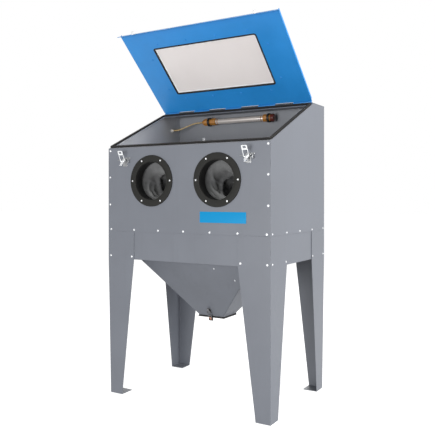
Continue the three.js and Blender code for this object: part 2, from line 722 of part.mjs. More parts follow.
// The tubular work lamp under the top strip, the bracket it clips into, its lead and the gland.
function addLamp(group) {
  const tube = pipeX(0, LAMP_RADIUS, LAMP_LEFT + GAP, LAMP_RIGHT - GAP, 24);
  addTo(group, "lamp_tube", tube.translate(0, LAMP_Y, LAMP_Z), 0xd9d4cf, 0.3);
  const cap = (x0, x1) => pipeX(0, LAMP_CAP_RADIUS, x0, x1, 24).translate(0, LAMP_Y, LAMP_Z);
  const leftEnd = LAMP_LEFT - LAMP_CAP_LEFT;
  const rightEnd = LAMP_RIGHT + LAMP_CAP_RIGHT;
  addTo(group, "lamp_cap_left", cap(leftEnd, LAMP_LEFT), 0xb8752c, 0.4);
  addTo(group, "lamp_cap_right", cap(LAMP_RIGHT, rightEnd), 0xb8752c, 0.4);
  const wall = REAR - SHEET - GAP - LAMP_Y;
  const clipX = [(leftEnd + LAMP_LEFT) / 2, (LAMP_RIGHT + rightEnd) / 2];
  const clips = clipX.map((x) =>
    join(
      pipeX(LAMP_CAP_RADIUS + GAP, LAMP_CAP_RADIUS + 4, x - 6, x + 6, 24),
      block(x - 6, x + 6, LAMP_CAP_RADIUS + 2, wall, -4, 4),
    ),
  );
  const strip = block(clipX[0] - 12, clipX[1] + 12, wall - SHEET, wall, -BRACKET_HALF, BRACKET_HALF);
  addTo(group, "lamp_bracket", join(strip, ...clips).translate(0, LAMP_Y, LAMP_Z), BLACK);
  const glandEnd = -SIDE + SHEET + GLAND_REACH;
  const lead = rodAlong(
    [
      vec(leftEnd - GAP, LAMP_Y, LAMP_Z),
      vec(leftEnd - 22, LAMP_Y, LAMP_Z),
      vec(leftEnd - 58, LAMP_Y - 6, LAMP_Z - 4),
      vec(leftEnd - 96, LAMP_Y - 22, LAMP_Z - 20),
      vec(leftEnd - 130, LAMP_Y - 34, LAMP_Z - 34),
      vec(glandEnd + 22, GLAND_Y, GLAND_Z),
      vec(glandEnd + GAP, GLAND_Y, GLAND_Z),
    ],
    CABLE_DIAMETER / 2,
    10,
    14,
  );
  addTo(group, "lamp_lead", lead, 0xb08a50, 0.5);
  const x = -SIDE + SHEET / 2;
  const half = SHEET / 2;
  const gland = join(
    pipeX(0, GLAND_HOLE, x - 6, x + GLAND_REACH, 20),
    pipeX(0, GLAND_RADIUS, x + half + GAP, x + half + 8, 6),
    pipeX(0, GLAND_RADIUS, x - half - GAP - 5, x - half - GAP, 20),
  );
  addTo(group, "lamp_gland", gland.translate(0, GLAND_Y, GLAND_Z), ZINC, 0.4, 0.6);
}

// The blast gun on its hook on the back wall: barrel, grip, stubs for air and grit, nozzle, trigger.
function addGun(group, moving) {
  const wall = REAR - SHEET - GAP;
  const barrelZ = HOOK_Z - 40;
  const barrelY = wall - 32;
  const wire = 2;
  const seat = GUN_RADIUS + wire + 1;
  const hookWire = rodAlong(
    [
      vec(0, wall - 3, HOOK_Z),
      vec(0, wall - 5, HOOK_Z - 16),
      vec(0, barrelY + seat + 4, barrelZ),
      vec(0, barrelY + seat * 0.8, barrelZ - seat * 0.8),
      vec(0, barrelY, barrelZ - seat - 2),
      vec(0, barrelY - seat * 0.8, barrelZ - seat * 0.8),
      vec(0, barrelY - seat - 4, barrelZ + 8),
    ],
    wire,
    8,
    20,
  );
  const plate = block(-9, 9, wall - 3, wall, HOOK_Z - 12, HOOK_Z + 12);
  addTo(group, "gun_hook", join(plate, hookWire).translate(HOOK_X, 0, 0), ZINC, 0.35, 1);

  const start = HOOK_X - GUN_HOOK_PLACE;
  const end = start + GUN_LENGTH;
  const gripX = start + 22;
  const barrel = pipeX(0, GUN_RADIUS, start, end, 20).translate(0, barrelY, barrelZ);
  const grip = alongY(
    outline([
      [gripX - 15, barrelZ - 4],
      [gripX - 20, barrelZ - 92],
      [gripX + 8, barrelZ - 96],
      [gripX + 15, barrelZ - 4],
    ]),
    barrelY - 10,
    barrelY + 10,
  );
  const air = pipe(0, 6, barrelZ - 118, barrelZ - 90, 14).translate(gripX - 6, barrelY, 0);
  const grit = pipe(0, 9, -44, 0, 14).rotateY(-0.4).translate(end - 20, barrelY, barrelZ);
  const pivot = vec(gripX + 24, barrelY, barrelZ - GUN_RADIUS - 6);
  const lugs = [-1, 1].map((s) =>
    block(-4, 4, s * 7 - 1.5, s * 7 + 1.5, -5, 12).translate(pivot.x, pivot.y, pivot.z),
  );
  const pin = pipeY(0, 2, -8, 8, 12).translate(pivot.x, pivot.y, pivot.z);
  addTo(group, "gun_body", join(barrel, grip, air, grit, ...lugs, pin), 0x8f9296, 0.4, 0.8);
  const tip = turned([[3.5, 0], [9, 0], [9, 20], [6.5, 36], [3.5, 36]], 16).rotateY(Math.PI / 2);
  addTo(group, "gun_nozzle", tip.translate(end + GAP, barrelY, barrelZ), 0xe6dfd0, 0.6);

  const blade = alongY(
    outline([[-3, 3], [4, 3], [5, -20], [12, -58], [8, -60], [-1, -22]]),
    -4.5,
    4.5,
  );
  const bore = pipeY(0, 2 + PIN_CLEARANCE, -8, 8, 12);
  addTo(moving, "gun_trigger", cut(blade, bore), 0x2a2a2c, 0.5);
  moving.position.copy(pivot);
}

function addRearFittings(group) {
  const inside = REAR - SHEET - GAP;
  const outer = SPIGOT_RADIUS;
  const spigot = turned(
    [
      [outer - SPIGOT_WALL, inside - 12],
      [outer, inside - 12],
      [outer, REAR + GAP],
      [outer + 14, REAR + GAP],
      [outer + 14, REAR + GAP + SHEET],
      [outer, REAR + GAP + SHEET],
      [outer, REAR + SPIGOT_REACH],
      [outer - SPIGOT_WALL, REAR + SPIGOT_REACH],
    ],
    32,
  ).rotateX(-Math.PI / 2);
  addTo(group, "dust_outlet", spigot.translate(SPIGOT_X, 0, SPIGOT_Z), DARK_GREY);
  const nipple = join(
    pipeY(0, INLET_RADIUS, inside - 16, REAR + INLET_REACH, 16),
    pipeY(0, INLET_RADIUS + 5, REAR + GAP, REAR + 11, 6),
    pipeY(0, INLET_RADIUS + 5, inside - 8, inside, 6),
    pipeY(0, INLET_RADIUS + 2, REAR + INLET_REACH - 8, REAR + INLET_REACH - 3, 16),
  );
  addTo(group, "air_inlet", nipple.translate(INLET_X, 0, INLET_Z), 0xb69a54, 0.35, 1);
}

// ---------- lid ----------
// In the lid's own frame the hinge axis is X, the sheet reaches out along -Y and its outer face
// looks up +Z.
function lidSheet() {
  const sheet = withHole(
    rectangle(-LID_HALF_WIDTH, LID_HALF_WIDTH, -LID_REACH, -KNUCKLE_RADIUS - 1),
    rectangle(-WINDOW_HALF_X, WINDOW_HALF_X, -WINDOW_FAR, -WINDOW_NEAR, 8),
  );
  const low = LID_LOW;
  const plate = alongZ(sheet, low, low + SHEET, 4);
  const hems = [-1, 1].map((s) => {
    const edges = [s * LID_HALF_WIDTH, s * (LID_HALF_WIDTH - SHEET)].sort((a, b) => a - b);
    return block(edges[0], edges[1], -LID_REACH, -KNUCKLE_RADIUS - 12, low, low + LID_HEM);
  });
  const lip = block(-LID_HALF_WIDTH, LID_HALF_WIDTH, 0, SHEET, -LIP_LENGTH, SHEET / 2);
  lip.rotateX(-SLOPE).translate(0, -LID_REACH, low + SHEET / 2);
  return join(plate, ...hems, lip);
}

function windowRing(outer, inner, z0, z1, radius) {
  const ring = withHole(
    rectangle(
      -WINDOW_HALF_X - outer,
      WINDOW_HALF_X + outer,
      -WINDOW_FAR - outer,
      -WINDOW_NEAR + outer,
      radius,
    ),
    rectangle(-WINDOW_HALF_X - inner, WINDOW_HALF_X + inner, -WINDOW_FAR - inner, -WINDOW_NEAR + inner, 4),
  );
  return alongZ(ring, z0, z1, 4);
}

function addWindow(lid) {
  const sheetTop = LID_LOW + SHEET;
  const sealBottom = sheetTop + GAP;
  const glassBottom = sealBottom + WINDOW_SEAL + GAP;
  const glassTop = glassBottom + GLASS_THICKNESS;
  const frameTop = glassTop + GAP + FRAME_SHEET;
  const reach = GLASS_OVERLAP;
  addTo(lid, "window_seal", windowRing(reach, 2, sealBottom, sealBottom + WINDOW_SEAL, 6), BLACK, 0.8);
  const pane = rectangle(
    -WINDOW_HALF_X - reach,
    WINDOW_HALF_X + reach,
    -WINDOW_FAR - reach,
    -WINDOW_NEAR + reach,
    6,
  );
  addTo(lid, "window_glass", alongZ(pane, glassBottom, glassTop, 4), 0xdcd8d6, 0.1);
  const inner = reach + 2 * GAP;
  const wall = inner + FRAME_SHEET;
  const frame = join(
    windowRing(inner + FRAME_WIDTH, inner, sealBottom, sealBottom + FRAME_SHEET, 10),
    windowRing(wall, inner, sealBottom, frameTop, 8),
    windowRing(wall, reach - FRAME_LIP, frameTop - FRAME_SHEET, frameTop, 8),
  );
  addTo(lid, "window_frame", frame, 0x2a5f8e, 0.5);
}

// The hook that a latch bail pulls on, drawn upright, for the lid's lip or the trap door's edge.
// Its back is on the plane y = 0, it hooks out along -Y and z = 0 is the middle of the bail's bar.
function keeper(scale) {
  const reach = 16;
  const floor = -LATCH.barHalf - LATCH.hookSlack;
  const profile = outline([
    [0, 18],
    [-2, 18],
    [-2, floor],
    [-reach + 2, floor],
    [-reach + 2, 5],
    [-reach, 5],
    [-reach, floor - 2],
    [0, floor - 2],
  ]);
  return alongX(profile, -LATCH.hookHalf, LATCH.hookHalf).scale(scale, scale, scale);
}

// Knuckles at every other place along the hinge, with the leaf that they carry.
function hingeLeaf(first, leafFrom, leafTo, leafLow) {
  const half = LID_HALF_WIDTH - SHEET - GAP;
  const pitch = (2 * half) / KNUCKLE_COUNT;
  const leaf = block(-half, half, leafFrom, leafTo, leafLow, leafLow + LEAF_SHEET);
  const clear = [];
  const barrels = [];
  for (let i = 0; i < KNUCKLE_COUNT; i += 1) {
    const x0 = -half + i * pitch;
    const own = i % 2 === first;
    if (own) {
      barrels.push(pipeX(0, KNUCKLE_RADIUS, x0 + GAP, x0 + pitch - GAP, 12));
    } else {
      clear.push(pipeX(0, KNUCKLE_RADIUS + GAP, x0 - GAP, x0 + pitch + GAP, 12));
    }
  }
  const bore = pipeX(0, PIN_RADIUS + PIN_CLEARANCE, -half - 5, half + 5, 12);
  return cut(join(cut(leaf, ...clear), ...barrels), bore);
}

// ---------- toggle latches ----------
// Drawn on an upright panel whose face is y = 0, looking out along -Y, with the lever's pivot at
// z = 0 and the bail reaching up.
const LATCH = {
  plateHalf: 14,
  plateLow: -31,
  plateHigh: 12,
  earX: 12.4,
  earSheet: 2.4,
  pinRadius: 2,
  leverHalf: 9,
  leverLength: 40,
  bailPivotY: -5,
  bailPivotZ: -11,
  bailLength: 52,
  wire: 1.75,
  headHalf: 14.5, // the bail's slotted head
  headLow: 32,
  barHalf: 2.2, // half the height of the bar above the slot
  slotHalf: 7.5,
  slotHeight: 10,
  hookHalf: 6, // the keeper's hook passes through the slot
  hookSlack: 1,
};

function latchBase(scale, staple) {
  const L = LATCH;
  const axisY = -LATCH_STAND;
  const plate = block(-L.plateHalf, L.plateHalf, -SHEET, 0, L.plateLow, L.plateHigh);
  const ears = [-1, 1].map((s) => {
    const x = s * (L.earX - L.earSheet / 2);
    return block(x - L.earSheet / 2, x + L.earSheet / 2, axisY - 3.2, 0, -7, 7);
  });
  const pin = pipeX(0, L.pinRadius, staple ? -40 : -L.earX, L.earX, 12).translate(0, axisY, 0);
  const pieces = [plate, ...ears, pin];
  if (staple) {
    const [x0, x1] = [L.earX + 12, L.earX + 16];
    pieces.push(
      block(L.earX - 1, L.earX + 20, -SHEET, 0, 4, 12),
      block(x0, x1, -12, -SHEET / 2, 5, 9),
      block(x0, x1, -12, -8, -14, 9),
      block(x0, x1, -12, 0, -14, -10),
    );
  }
  return join(...pieces).scale(scale, scale, scale);
}

function latchLever(scale) {
  const L = LATCH;
  const barrel = pipeX(0, 4.2, -L.leverHalf, L.leverHalf, 14);
  const second = pipeX(0, 4, -L.leverHalf, L.leverHalf, 14).translate(0, L.bailPivotY, L.bailPivotZ);
  const web = alongX(
    outline([[-3.8, 2], [2, 3], [2.5, -3], [-2, -13], [-4, -L.leverLength + 8], [-8, -L.leverLength],
      [-10, -L.leverLength + 1], [-6.5, -L.leverLength + 10], [-6.5, -8]]),
    -L.leverHalf,
    L.leverHalf,
  );
  const bores = [
    pipeX(0, L.pinRadius + PIN_CLEARANCE, -30, 30, 12),
    pipeX(0, L.wire + PIN_CLEARANCE, -30, 30, 12).translate(0, L.bailPivotY, L.bailPivotZ),
  ];
  return cut(join(barrel, second, web), ...bores).scale(scale, scale, scale);
}

// A pin that turns in the lever, a leg up from each end of it and a flat slotted head between them.
function latchBail(scale) {
  const L = LATCH;
  const top = L.bailLength + L.barHalf;
  const slotTop = L.bailLength - L.barHalf;
  const head = cut(
    block(-L.headHalf, L.headHalf, -L.wire, L.wire, L.headLow, top),
    block(-L.slotHalf, L.slotHalf, -5, 5, slotTop - L.slotHeight, slotTop),
  );
  const x = L.headHalf - L.wire;
  const legs = [-1, 1].map((s) => pipe(0, L.wire, 0, L.headLow + 1, 10).translate(s * x, 0, 0));
  const pin = pipeX(0, L.wire, -L.headHalf, L.headHalf, 10);
  return join(pin, ...legs, head).scale(scale, scale, scale);
}

// One latch: its base, and the lever and bail turned to where they rest.
function addLatch(group, name, { scale, staple, leverOpen, bailOut }) {
  const L = LATCH;
  addTo(group, `${name}_base`, latchBase(scale, staple), ZINC, 0.25, 1);
  const lever = new THREE.Group();
  lever.position.set(0, -LATCH_STAND * scale, 0);
  lever.rotation.x = -radians(leverOpen);
  addTo(lever, `${name}_lever`, latchLever(scale), ZINC, 0.25, 1);
  const bail = new THREE.Group();
  bail.position.set(0, L.bailPivotY * scale, L.bailPivotZ * scale);
  bail.rotation.x = radians(leverOpen + bailOut);
  addTo(bail, `${name}_bail`, latchBail(scale), ZINC, 0.25, 1);
  lever.add(bail);
  group.add(lever);
}

// Height of the bail's bar above the lever's pivot when the latch is shut.
const BAR_HEIGHT = LATCH.bailPivotZ + LATCH.bailLength;

// ---------- the whole cabinet ----------
function buildCabinet() {
  const cabinet = new THREE.Group();

  addTo(cabinet, "front_panel", frontPanel(), GREY);
  addTo(cabinet, "left_panel", sideWall(-1), GREY);
  addTo(cabinet, "right_panel", sideWall(1), GREY);
  addTo(cabinet, "rear_panel", rearPanel(), GREY);
  addTo(cabinet, "top_rail", topRail(), GREY);
  addLegs(cabinet);
  addAprons(cabinet);
  addHopper(cabinet);
  addTo(cabinet, "outlet_seal", outletSeal(), BLACK, 0.8);
  trapDoor(cabinet);
  addTo(cabinet, "work_grate", workGrate(), 0x5b5e62, 0.6, 0.5);
  addPorts(cabinet);
  addLamp(cabinet);
  addRearFittings(cabinet);

  const trigger = new THREE.Group();
  addGun(cabinet, trigger);
  cabinet.add(trigger);

  const plate = block(-PLATE_WIDTH, 0, FRONT - GAP - 1, FRONT - GAP, 0, PLATE_HEIGHT);
  addTo(cabinet, "name_plate", plate.translate(PLATE_RIGHT, 0, PLATE_BOTTOM), BLUE);

  // The seal and the fixed hinge leaf, and the lid with all it carries.
  const rim = new THREE.Group();
  rim.position.set(0, AXIS_Y, AXIS_Z);
  rim.rotation.x = SLOPE;
  const near = KNUCKLE_RADIUS + 3;
  const sealX = SIDE - 0.5;
  const seal = withHole(
    rectangle(-sealX, sealX, -SEAL_REACH, -near),
    rectangle(-sealX + SEAL_WIDTH, sealX - SEAL_WIDTH, -SEAL_REACH + SEAL_WIDTH, -near - SEAL_WIDTH),
  );
  addTo(rim, "lid_seal", alongZ(seal, GAP - AXIS_RISE, LID_SEAT), BLACK, 0.9);
  cabinet.add(rim);

  const hinge = new THREE.Group();
  hinge.position.set(0, AXIS_Y, AXIS_Z);
  const leafLow = RAIL_TOP + GAP - AXIS_Z;
  addTo(hinge, "hinge_leaf_fixed", hingeLeaf(1, 1, LEAF_WIDTH, leafLow), ZINC, 0.4, 1);
  const pin = pipeX(0, PIN_RADIUS, -LID_HALF_WIDTH, LID_HALF_WIDTH, 12);
  addTo(hinge, "hinge_pin", pin, ZINC, 0.3, 1);
  cabinet.add(hinge);

  const lid = new THREE.Group();
  lid.position.set(0, AXIS_Y, AXIS_Z);
  lid.rotation.x = -radians(LID_OPEN);
  addTo(lid, "lid_panel", lidSheet(), BLUE);
  addWindow(lid);
  addTo(lid, "hinge_leaf_lid", hingeLeaf(0, -LEAF_WIDTH, 0, LID_LOW + SHEET + GAP), ZINC, 0.4, 1);
  cabinet.add(lid);

  for (const [name, side] of [["left", -1], ["right", 1]]) {
    const latch = new THREE.Group();
    latch.position.set(side * LATCH_X, FRONT - GAP, LATCH_Z);
    addLatch(latch, `latch_${name}`, {
      scale: 1,
      staple: true,
      leverOpen: LATCH_REST,
      bailOut: BAIL_REST,
    });
    cabinet.add(latch);

    // The keeper stands upright in front of the lid's lip when the lid is shut.
    const upright = new THREE.Group();
    upright.rotation.x = -SLOPE;
    const hook = addTo(upright, `lid_keeper_${name}`, keeper(1), ZINC, 0.25, 1);
    hook.position.set(
      side * LATCH_X,
      FRONT - LIP_GAP - SHEET - GAP - AXIS_Y,
      LATCH_Z + BAR_HEIGHT - AXIS_Z,
    );
    lid.add(upright);
  }

  // The trap door's latch lies on the hopper's front slope and its bail reaches down past the mouth.
  const lean = Math.atan2(-HOPPER_Y - OUTLET_HALF_Y, SHELL_BOTTOM - OUTLET_HEIGHT);
  const slope = new THREE.Group();
  slope.position.set(0, -OUTLET_HALF_Y - GAP / Math.cos(lean), OUTLET_HEIGHT);
  slope.rotation.x = lean;
  const doorLatch = new THREE.Group();
  doorLatch.rotation.y = Math.PI;
  doorLatch.position.z = BAR_HEIGHT * DOOR_LATCH_SCALE - DOOR_BAR_PAST;
  addLatch(doorLatch, "dump_latch", {
    scale: DOOR_LATCH_SCALE,
    staple: false,
    leverOpen: 0,
    bailOut: 0,
  });
  slope.add(doorLatch);
  cabinet.add(slope);

  const barOut = (LATCH_STAND - LATCH.bailPivotY) * DOOR_LATCH_SCALE;
  const barZ = OUTLET_HEIGHT - DOOR_BAR_PAST * Math.cos(lean) - barOut * Math.sin(lean);
  const catchHook = addTo(cabinet, "dump_keeper", keeper(DOOR_LATCH_SCALE), 0xb87a5a, 0.3, 1);
  catchHook.rotation.y = Math.PI;
  catchHook.position.set(0, -OUTLET_HALF_Y - SHEET - GAP, barZ);

  return cabinet;
}

export default buildCabinet();
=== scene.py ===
import math

import bmesh
import bpy
import numpy as np
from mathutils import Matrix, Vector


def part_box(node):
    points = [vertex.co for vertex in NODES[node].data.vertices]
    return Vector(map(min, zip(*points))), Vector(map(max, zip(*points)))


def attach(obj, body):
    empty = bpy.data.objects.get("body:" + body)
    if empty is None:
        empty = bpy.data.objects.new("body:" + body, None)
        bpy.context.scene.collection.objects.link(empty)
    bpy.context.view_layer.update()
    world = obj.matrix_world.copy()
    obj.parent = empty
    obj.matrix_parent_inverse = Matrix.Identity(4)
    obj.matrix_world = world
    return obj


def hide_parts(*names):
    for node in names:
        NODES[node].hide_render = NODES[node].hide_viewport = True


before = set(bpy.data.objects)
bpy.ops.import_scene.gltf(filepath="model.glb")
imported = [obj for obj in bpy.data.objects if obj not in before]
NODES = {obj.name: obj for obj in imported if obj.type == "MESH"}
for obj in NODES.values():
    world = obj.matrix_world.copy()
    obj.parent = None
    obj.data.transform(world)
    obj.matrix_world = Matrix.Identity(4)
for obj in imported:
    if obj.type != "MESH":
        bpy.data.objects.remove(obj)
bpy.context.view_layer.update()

MM = 0.001

# The chamber's outer faces, its glove ports, the sheet it is folded from and the gap between two parts.
SIDE = 450.0
FRONT = -315.0
REAR = 315.0
PORT_X = 183.0
PORT_Z = 1058.0
PORT_RADIUS = 91.0
RING_OUTER = 123.5
RING_THICK = 4.5
SHEET = 2.0
GAP = 0.3
LEAD_RADIUS = 3.6

# The sloping rim, and the lid's hinge line just above its rear end.
FRONT_TOP = 1222.5
RIM_REAR = 1443.0
RIM_RUN = 481.0
AXIS_RISE = 7.0
SLOPE = math.atan2(RIM_REAR - FRONT_TOP, RIM_RUN)
AXIS_Y = FRONT + RIM_RUN - AXIS_RISE * math.sin(SLOPE)
AXIS_Z = RIM_REAR + AXIS_RISE * math.cos(SLOPE)
KNUCKLE_RADIUS = 5.5
RAIL_TOP = AXIS_Z - 3.3

# The lid in its own frame: x across, -y from the hinge to the front lip, z out of its outer side.
LID_OPEN = math.radians(42)
LID_LOW = 2.3
LID_HALF = 446.0
LID_REACH = (AXIS_Y - FRONT + 4 - (LID_LOW + 1) * math.sin(SLOPE)) / math.cos(SLOPE)
WINDOW_HALF = 291.0
WINDOW_NEAR = 132.0
WINDOW_FAR = LID_REACH - 104
WINDOW_LENGTH = WINDOW_FAR - WINDOW_NEAR
WINDOW_MIDDLE = (WINDOW_NEAR + WINDOW_FAR) / 2
GLASS_LOW = LID_LOW + SHEET + GAP + 3 + GAP

# The hopper's mouth and the lean of its front wall, and where the latches sit.
SHELL_BOTTOM = 811.0
HOPPER_TOP_Y = 309.9
MOUTH_Y = 65.0
MOUTH_Z = 390.0
HOPPER_LEAN = math.atan2(HOPPER_TOP_Y - MOUTH_Y, SHELL_BOTTOM - MOUTH_Z)
LATCH_X = 343.0
LATCH_Z = FRONT_TOP - 61
KEEPER_RISE = 41.0
TRAP_LATCH = 0.7
rng = np.random.default_rng(7)


# ---------- camera ----------
def place_camera():
    camera = bpy.data.cameras.new("camera")
    camera.sensor_width = 36
    camera.sensor_fit = "HORIZONTAL"
    camera.lens = 50.37
    camera.shift_y = -0.049
    camera.clip_end = 60
    eye = bpy.data.objects.new("camera", camera)
    eye.location = (1.5844, -2.6599, 0.9843)
    eye.rotation_euler = (math.radians(90), 0, math.radians(30.808))
    bpy.context.scene.collection.objects.link(eye)
    bpy.context.scene.camera = eye


place_camera()


# ---------- frames ----------
def shift(x, y, z):
    m = np.eye(4)
    m[:3, 3] = (x, y, z)
    return m


def turn(axis, angle):
    """Turns by angle about one axis."""
    c, s = math.cos(angle), math.sin(angle)
    a, b = {"x": (1, 2), "y": (2, 0), "z": (0, 1)}[axis]
    m = np.eye(4)
    m[a, a] = m[b, b] = c
    m[a, b], m[b, a] = -s, s
    return m


def sized(k):
    return np.diag([k, k, k, 1.0])


LID = shift(0, AXIS_Y, AXIS_Z) @ turn("x", -LID_OPEN)
RIM = shift(0, AXIS_Y, AXIS_Z) @ turn("x", SLOPE)


# ---------- forms: (points, faces) ----------
def unit(v):
    return v / np.linalg.norm(v, axis=-1, keepdims=True)


def grid_form(points, wrap_rows=False, wrap_columns=False, caps=False):
    """Quads between neighbours of a grid of points; a wrapped side joins its last line to its first."""
    rows, columns = points.shape[:2]
    i = np.arange(rows if wrap_rows else rows - 1)
    j = np.arange(columns if wrap_columns else columns - 1)
    a, b = (m.ravel() for m in np.meshgrid(i, j, indexing="ij"))
    c, d = (a + 1) % rows, (b + 1) % columns
    faces = np.stack([a * columns + b, a * columns + d, c * columns + d, c * columns + b], 1).tolist()
    if caps:
        faces.append(list(range(columns))[::-1])
        faces.append(list(range((rows - 1) * columns, rows * columns)))
    return points.reshape(-1, 3), faces


def placed(form, *matrices):
    """Each point times the product of the matrices."""
    m = np.linalg.multi_dot(matrices) if len(matrices) > 1 else matrices[0]
    points, faces = form
    return points @ m[:3, :3].T + m[:3, 3], faces


def softened(points, radius, steps=5, closed=True):
    """Each corner P becomes the curve (1-t)^2 A + 2t(1-t) P + t^2 B, with A and B radius away from P."""
    p = np.asarray(points, float)
    before, after = np.roll(p, 1, axis=0), np.roll(p, -1, axis=0)
    a = p + unit(before - p) * radius
    b = p + unit(after - p) * radius
    t = np.linspace(0, 1, steps)[None, :, None]
    curve = (1 - t) ** 2 * a[:, None] + 2 * t * (1 - t) * p[:, None] + t**2 * b[:, None]
    if closed:
        return curve.reshape(-1, p.shape[1])
    inner = curve[1:-1].reshape(-1, p.shape[1])
    return np.vstack([p[:1], inner, p[-1:]])


def curve_through(points, per_span=14):
    """A cubic through every point, its slope at a point half the step between that point's neighbours."""
    p = np.asarray(points, float)
    p = np.vstack([2 * p[0] - p[1], p, 2 * p[-1] - p[-2]])
    t = np.linspace(0, 1, per_span, endpoint=False)[None, :, None]
    a, b, c, d = (p[k : len(p) - 3 + k, None] for k in range(4))
    q = b + (c - a) * t / 2 + (2 * a - 5 * b + 4 * c - d) * t**2 / 2 + (3 * b - a - 3 * c + d) * t**3 / 2
    return np.vstack([q.reshape(-1, p.shape[1]), p[-2:-1]])


def swept(profile, path, across, closed=False, scale=None):
    """point(i, j) = path_i + u_j side_i + v_j over_i, side = tangent x across, over = side x tangent."""
    path = np.asarray(path, float)
    profile = np.asarray(profile, float)
    if closed:
        tangent = np.roll(path, -1, axis=0) - np.roll(path, 1, axis=0)
    else:
        tangent = np.gradient(path, axis=0)
    tangent = unit(tangent)
    side = unit(np.cross(tangent, np.asarray(across, float)))
    over = np.cross(side, tangent)
    k = np.ones((len(path), 2)) if scale is None else np.asarray(scale, float)
    u = profile[None, :, :1] * k[:, None, :1]
    v = profile[None, :, 1:] * k[:, None, 1:]
    points = path[:, None] + u * side[:, None] + v * over[:, None]
    return grid_form(points, wrap_rows=closed, wrap_columns=True, caps=not closed)


def circle(radius, count=14):
    a = np.linspace(0, 2 * math.pi, count, endpoint=False)
    return np.stack([radius * np.cos(a), radius * np.sin(a)], 1)


def wire(path, radius, across, count=14):
    return swept(circle(radius, count), path, across)


def turned_form(profile, axis, centre, count=64, closed=False, flats=0):
    """point(i, j) = centre + h_j axis + r_j (cos i, sin i); flats draw the circle in to a polygon."""
    profile = np.asarray(profile, float)
    basis = {"x": (0, 1, 2), "y": (1, 2, 0), "z": (2, 0, 1)}[axis]
    along, first, second = np.eye(3)[list(basis)]
    a = np.linspace(0, 2 * math.pi, count, endpoint=False)[:, None, None]
    r, h = profile[None, :, :1], profile[None, :, 1:]
    if flats:
        sector = math.pi / flats
        r = r * math.cos(sector) / np.cos((a + sector) % (2 * sector) - sector)
    points = np.asarray(centre, float) + h * along + r * (np.cos(a) * first + np.sin(a) * second)
    return grid_form(points, wrap_rows=True, wrap_columns=closed)


def rod(radius, lo, hi, axis, centre, edge=0.6, count=32, flats=0):
    """A turned rod whose two ends are rounded over by a quarter circle."""
    q = np.linspace(0, math.pi / 2, 4)
    r = radius - edge + edge * np.sin(q)
    h = edge - edge * np.cos(q)
    profile = np.vstack(
        [[0, lo], np.stack([r, lo + h], 1), np.stack([r[::-1], hi - h[::-1]], 1), [0, hi]]
    )
    return turned_form(profile, axis, centre, count, flats=flats)


def rounded_outline(half_x, half_y, radius, count=8):
    """Four quarter circles, one about each corner's centre."""
    a = np.arange(4)[:, None] * math.pi / 2 + np.linspace(0, math.pi / 2, count)
    x = np.array([1, -1, -1, 1])[:, None] * (half_x - radius) + radius * np.cos(a)
    y = np.array([1, 1, -1, -1])[:, None] * (half_y - radius) + radius * np.sin(a)
    return np.stack([x.ravel(), y.ravel()], 1)


def plate(half_x, half_y, radius, thickness, edge=0.5, corner=8):
    """Stacked outlines on z from 0 to thickness, drawn in by a quarter circle near both faces."""
    q = np.linspace(0, math.pi / 2, 4)
    inset = edge * (1 - np.sin(q))
    rise = edge * (1 - np.cos(q))
    insets = np.concatenate([inset, inset[::-1]])
    heights = np.concatenate([rise, thickness - rise[::-1]])
    rings = [rounded_outline(half_x - d, half_y - d, max(radius - d, 0.05), corner) for d in insets]
    points = np.stack([np.column_stack([ring, np.full(len(ring), h)]) for ring, h in zip(rings, heights)])
    return grid_form(points, wrap_columns=True, caps=True)


def prism(outline, lo, hi):
    """An outline of (y, z) carried along x from lo to hi."""
    outline = np.asarray(outline, float)
    ends = [np.column_stack([np.full(len(outline), x), outline]) for x in (lo, hi)]
    return grid_form(np.stack(ends), wrap_columns=True, caps=True)


FACING = {
    "front": turn("x", math.pi / 2),
    "back": turn("x", -math.pi / 2),
    "right": turn("y", math.pi / 2),
    "left": turn("y", -math.pi / 2),
    "up": np.eye(4),
}

# Heads as (radius, height): a flanged screw in four sizes and a pan head.
SCREW = np.array(
    [
        [8.0, 0], [8.0, 0.9], [7.6, 1.3], [5.7, 1.3], [5.7, 2.4],
        [5.2, 3.5], [4.2, 4.3], [2.9, 4.6], [2.5, 2.6], [0, 2.4],
    ]
)
FRONT_SCREW = SCREW * [0.63, 0.76]
LOW_SCREW = SCREW * [0.63, 0.4]
SIDE_SCREW = SCREW * [0.58, 0.66]
SMALL_SCREW = SCREW * [0.51, 0.62]
PAN = np.array([[5.0, 0], [5.0, 1.2], [4.4, 2.3], [3.2, 2.9], [2.1, 3.0], [1.8, 1.7], [0, 1.6]])


def screws(places, facing, profile):
    """The same turned head at each place; the last three rings are drawn in to a hexagon socket."""
    count = 18
    a = np.linspace(0, 2 * math.pi, count, endpoint=False)[:, None]
    r, h = profile[None, :, 0], profile[None, :, 1]
    hexagon = math.cos(math.pi / 6) / np.cos((a + math.pi / 6) % (math.pi / 3) - math.pi / 6)
    socket = np.arange(profile.shape[0]) >= profile.shape[0] - 3
    r = np.where(socket[None], r * hexagon, r)
    head = np.stack([r * np.cos(a), r * np.sin(a), np.broadcast_to(h, r.shape)], -1)
    spins = rng.uniform(0, math.pi / 3, len(places))
    made = []
    for place, spin in zip(places, spins):
        form = grid_form(head, wrap_rows=True)
        made.append(placed(form, shift(*place), facing, turn("z", spin)))
    return made


# ---------- making a piece ----------
def together(forms):
    points, faces, start = [], [], 0
    for p, f in forms:
        points.append(p)
        faces.extend([[k + start for k in face] for face in f])
        start += len(p)
    return np.vstack(points), faces


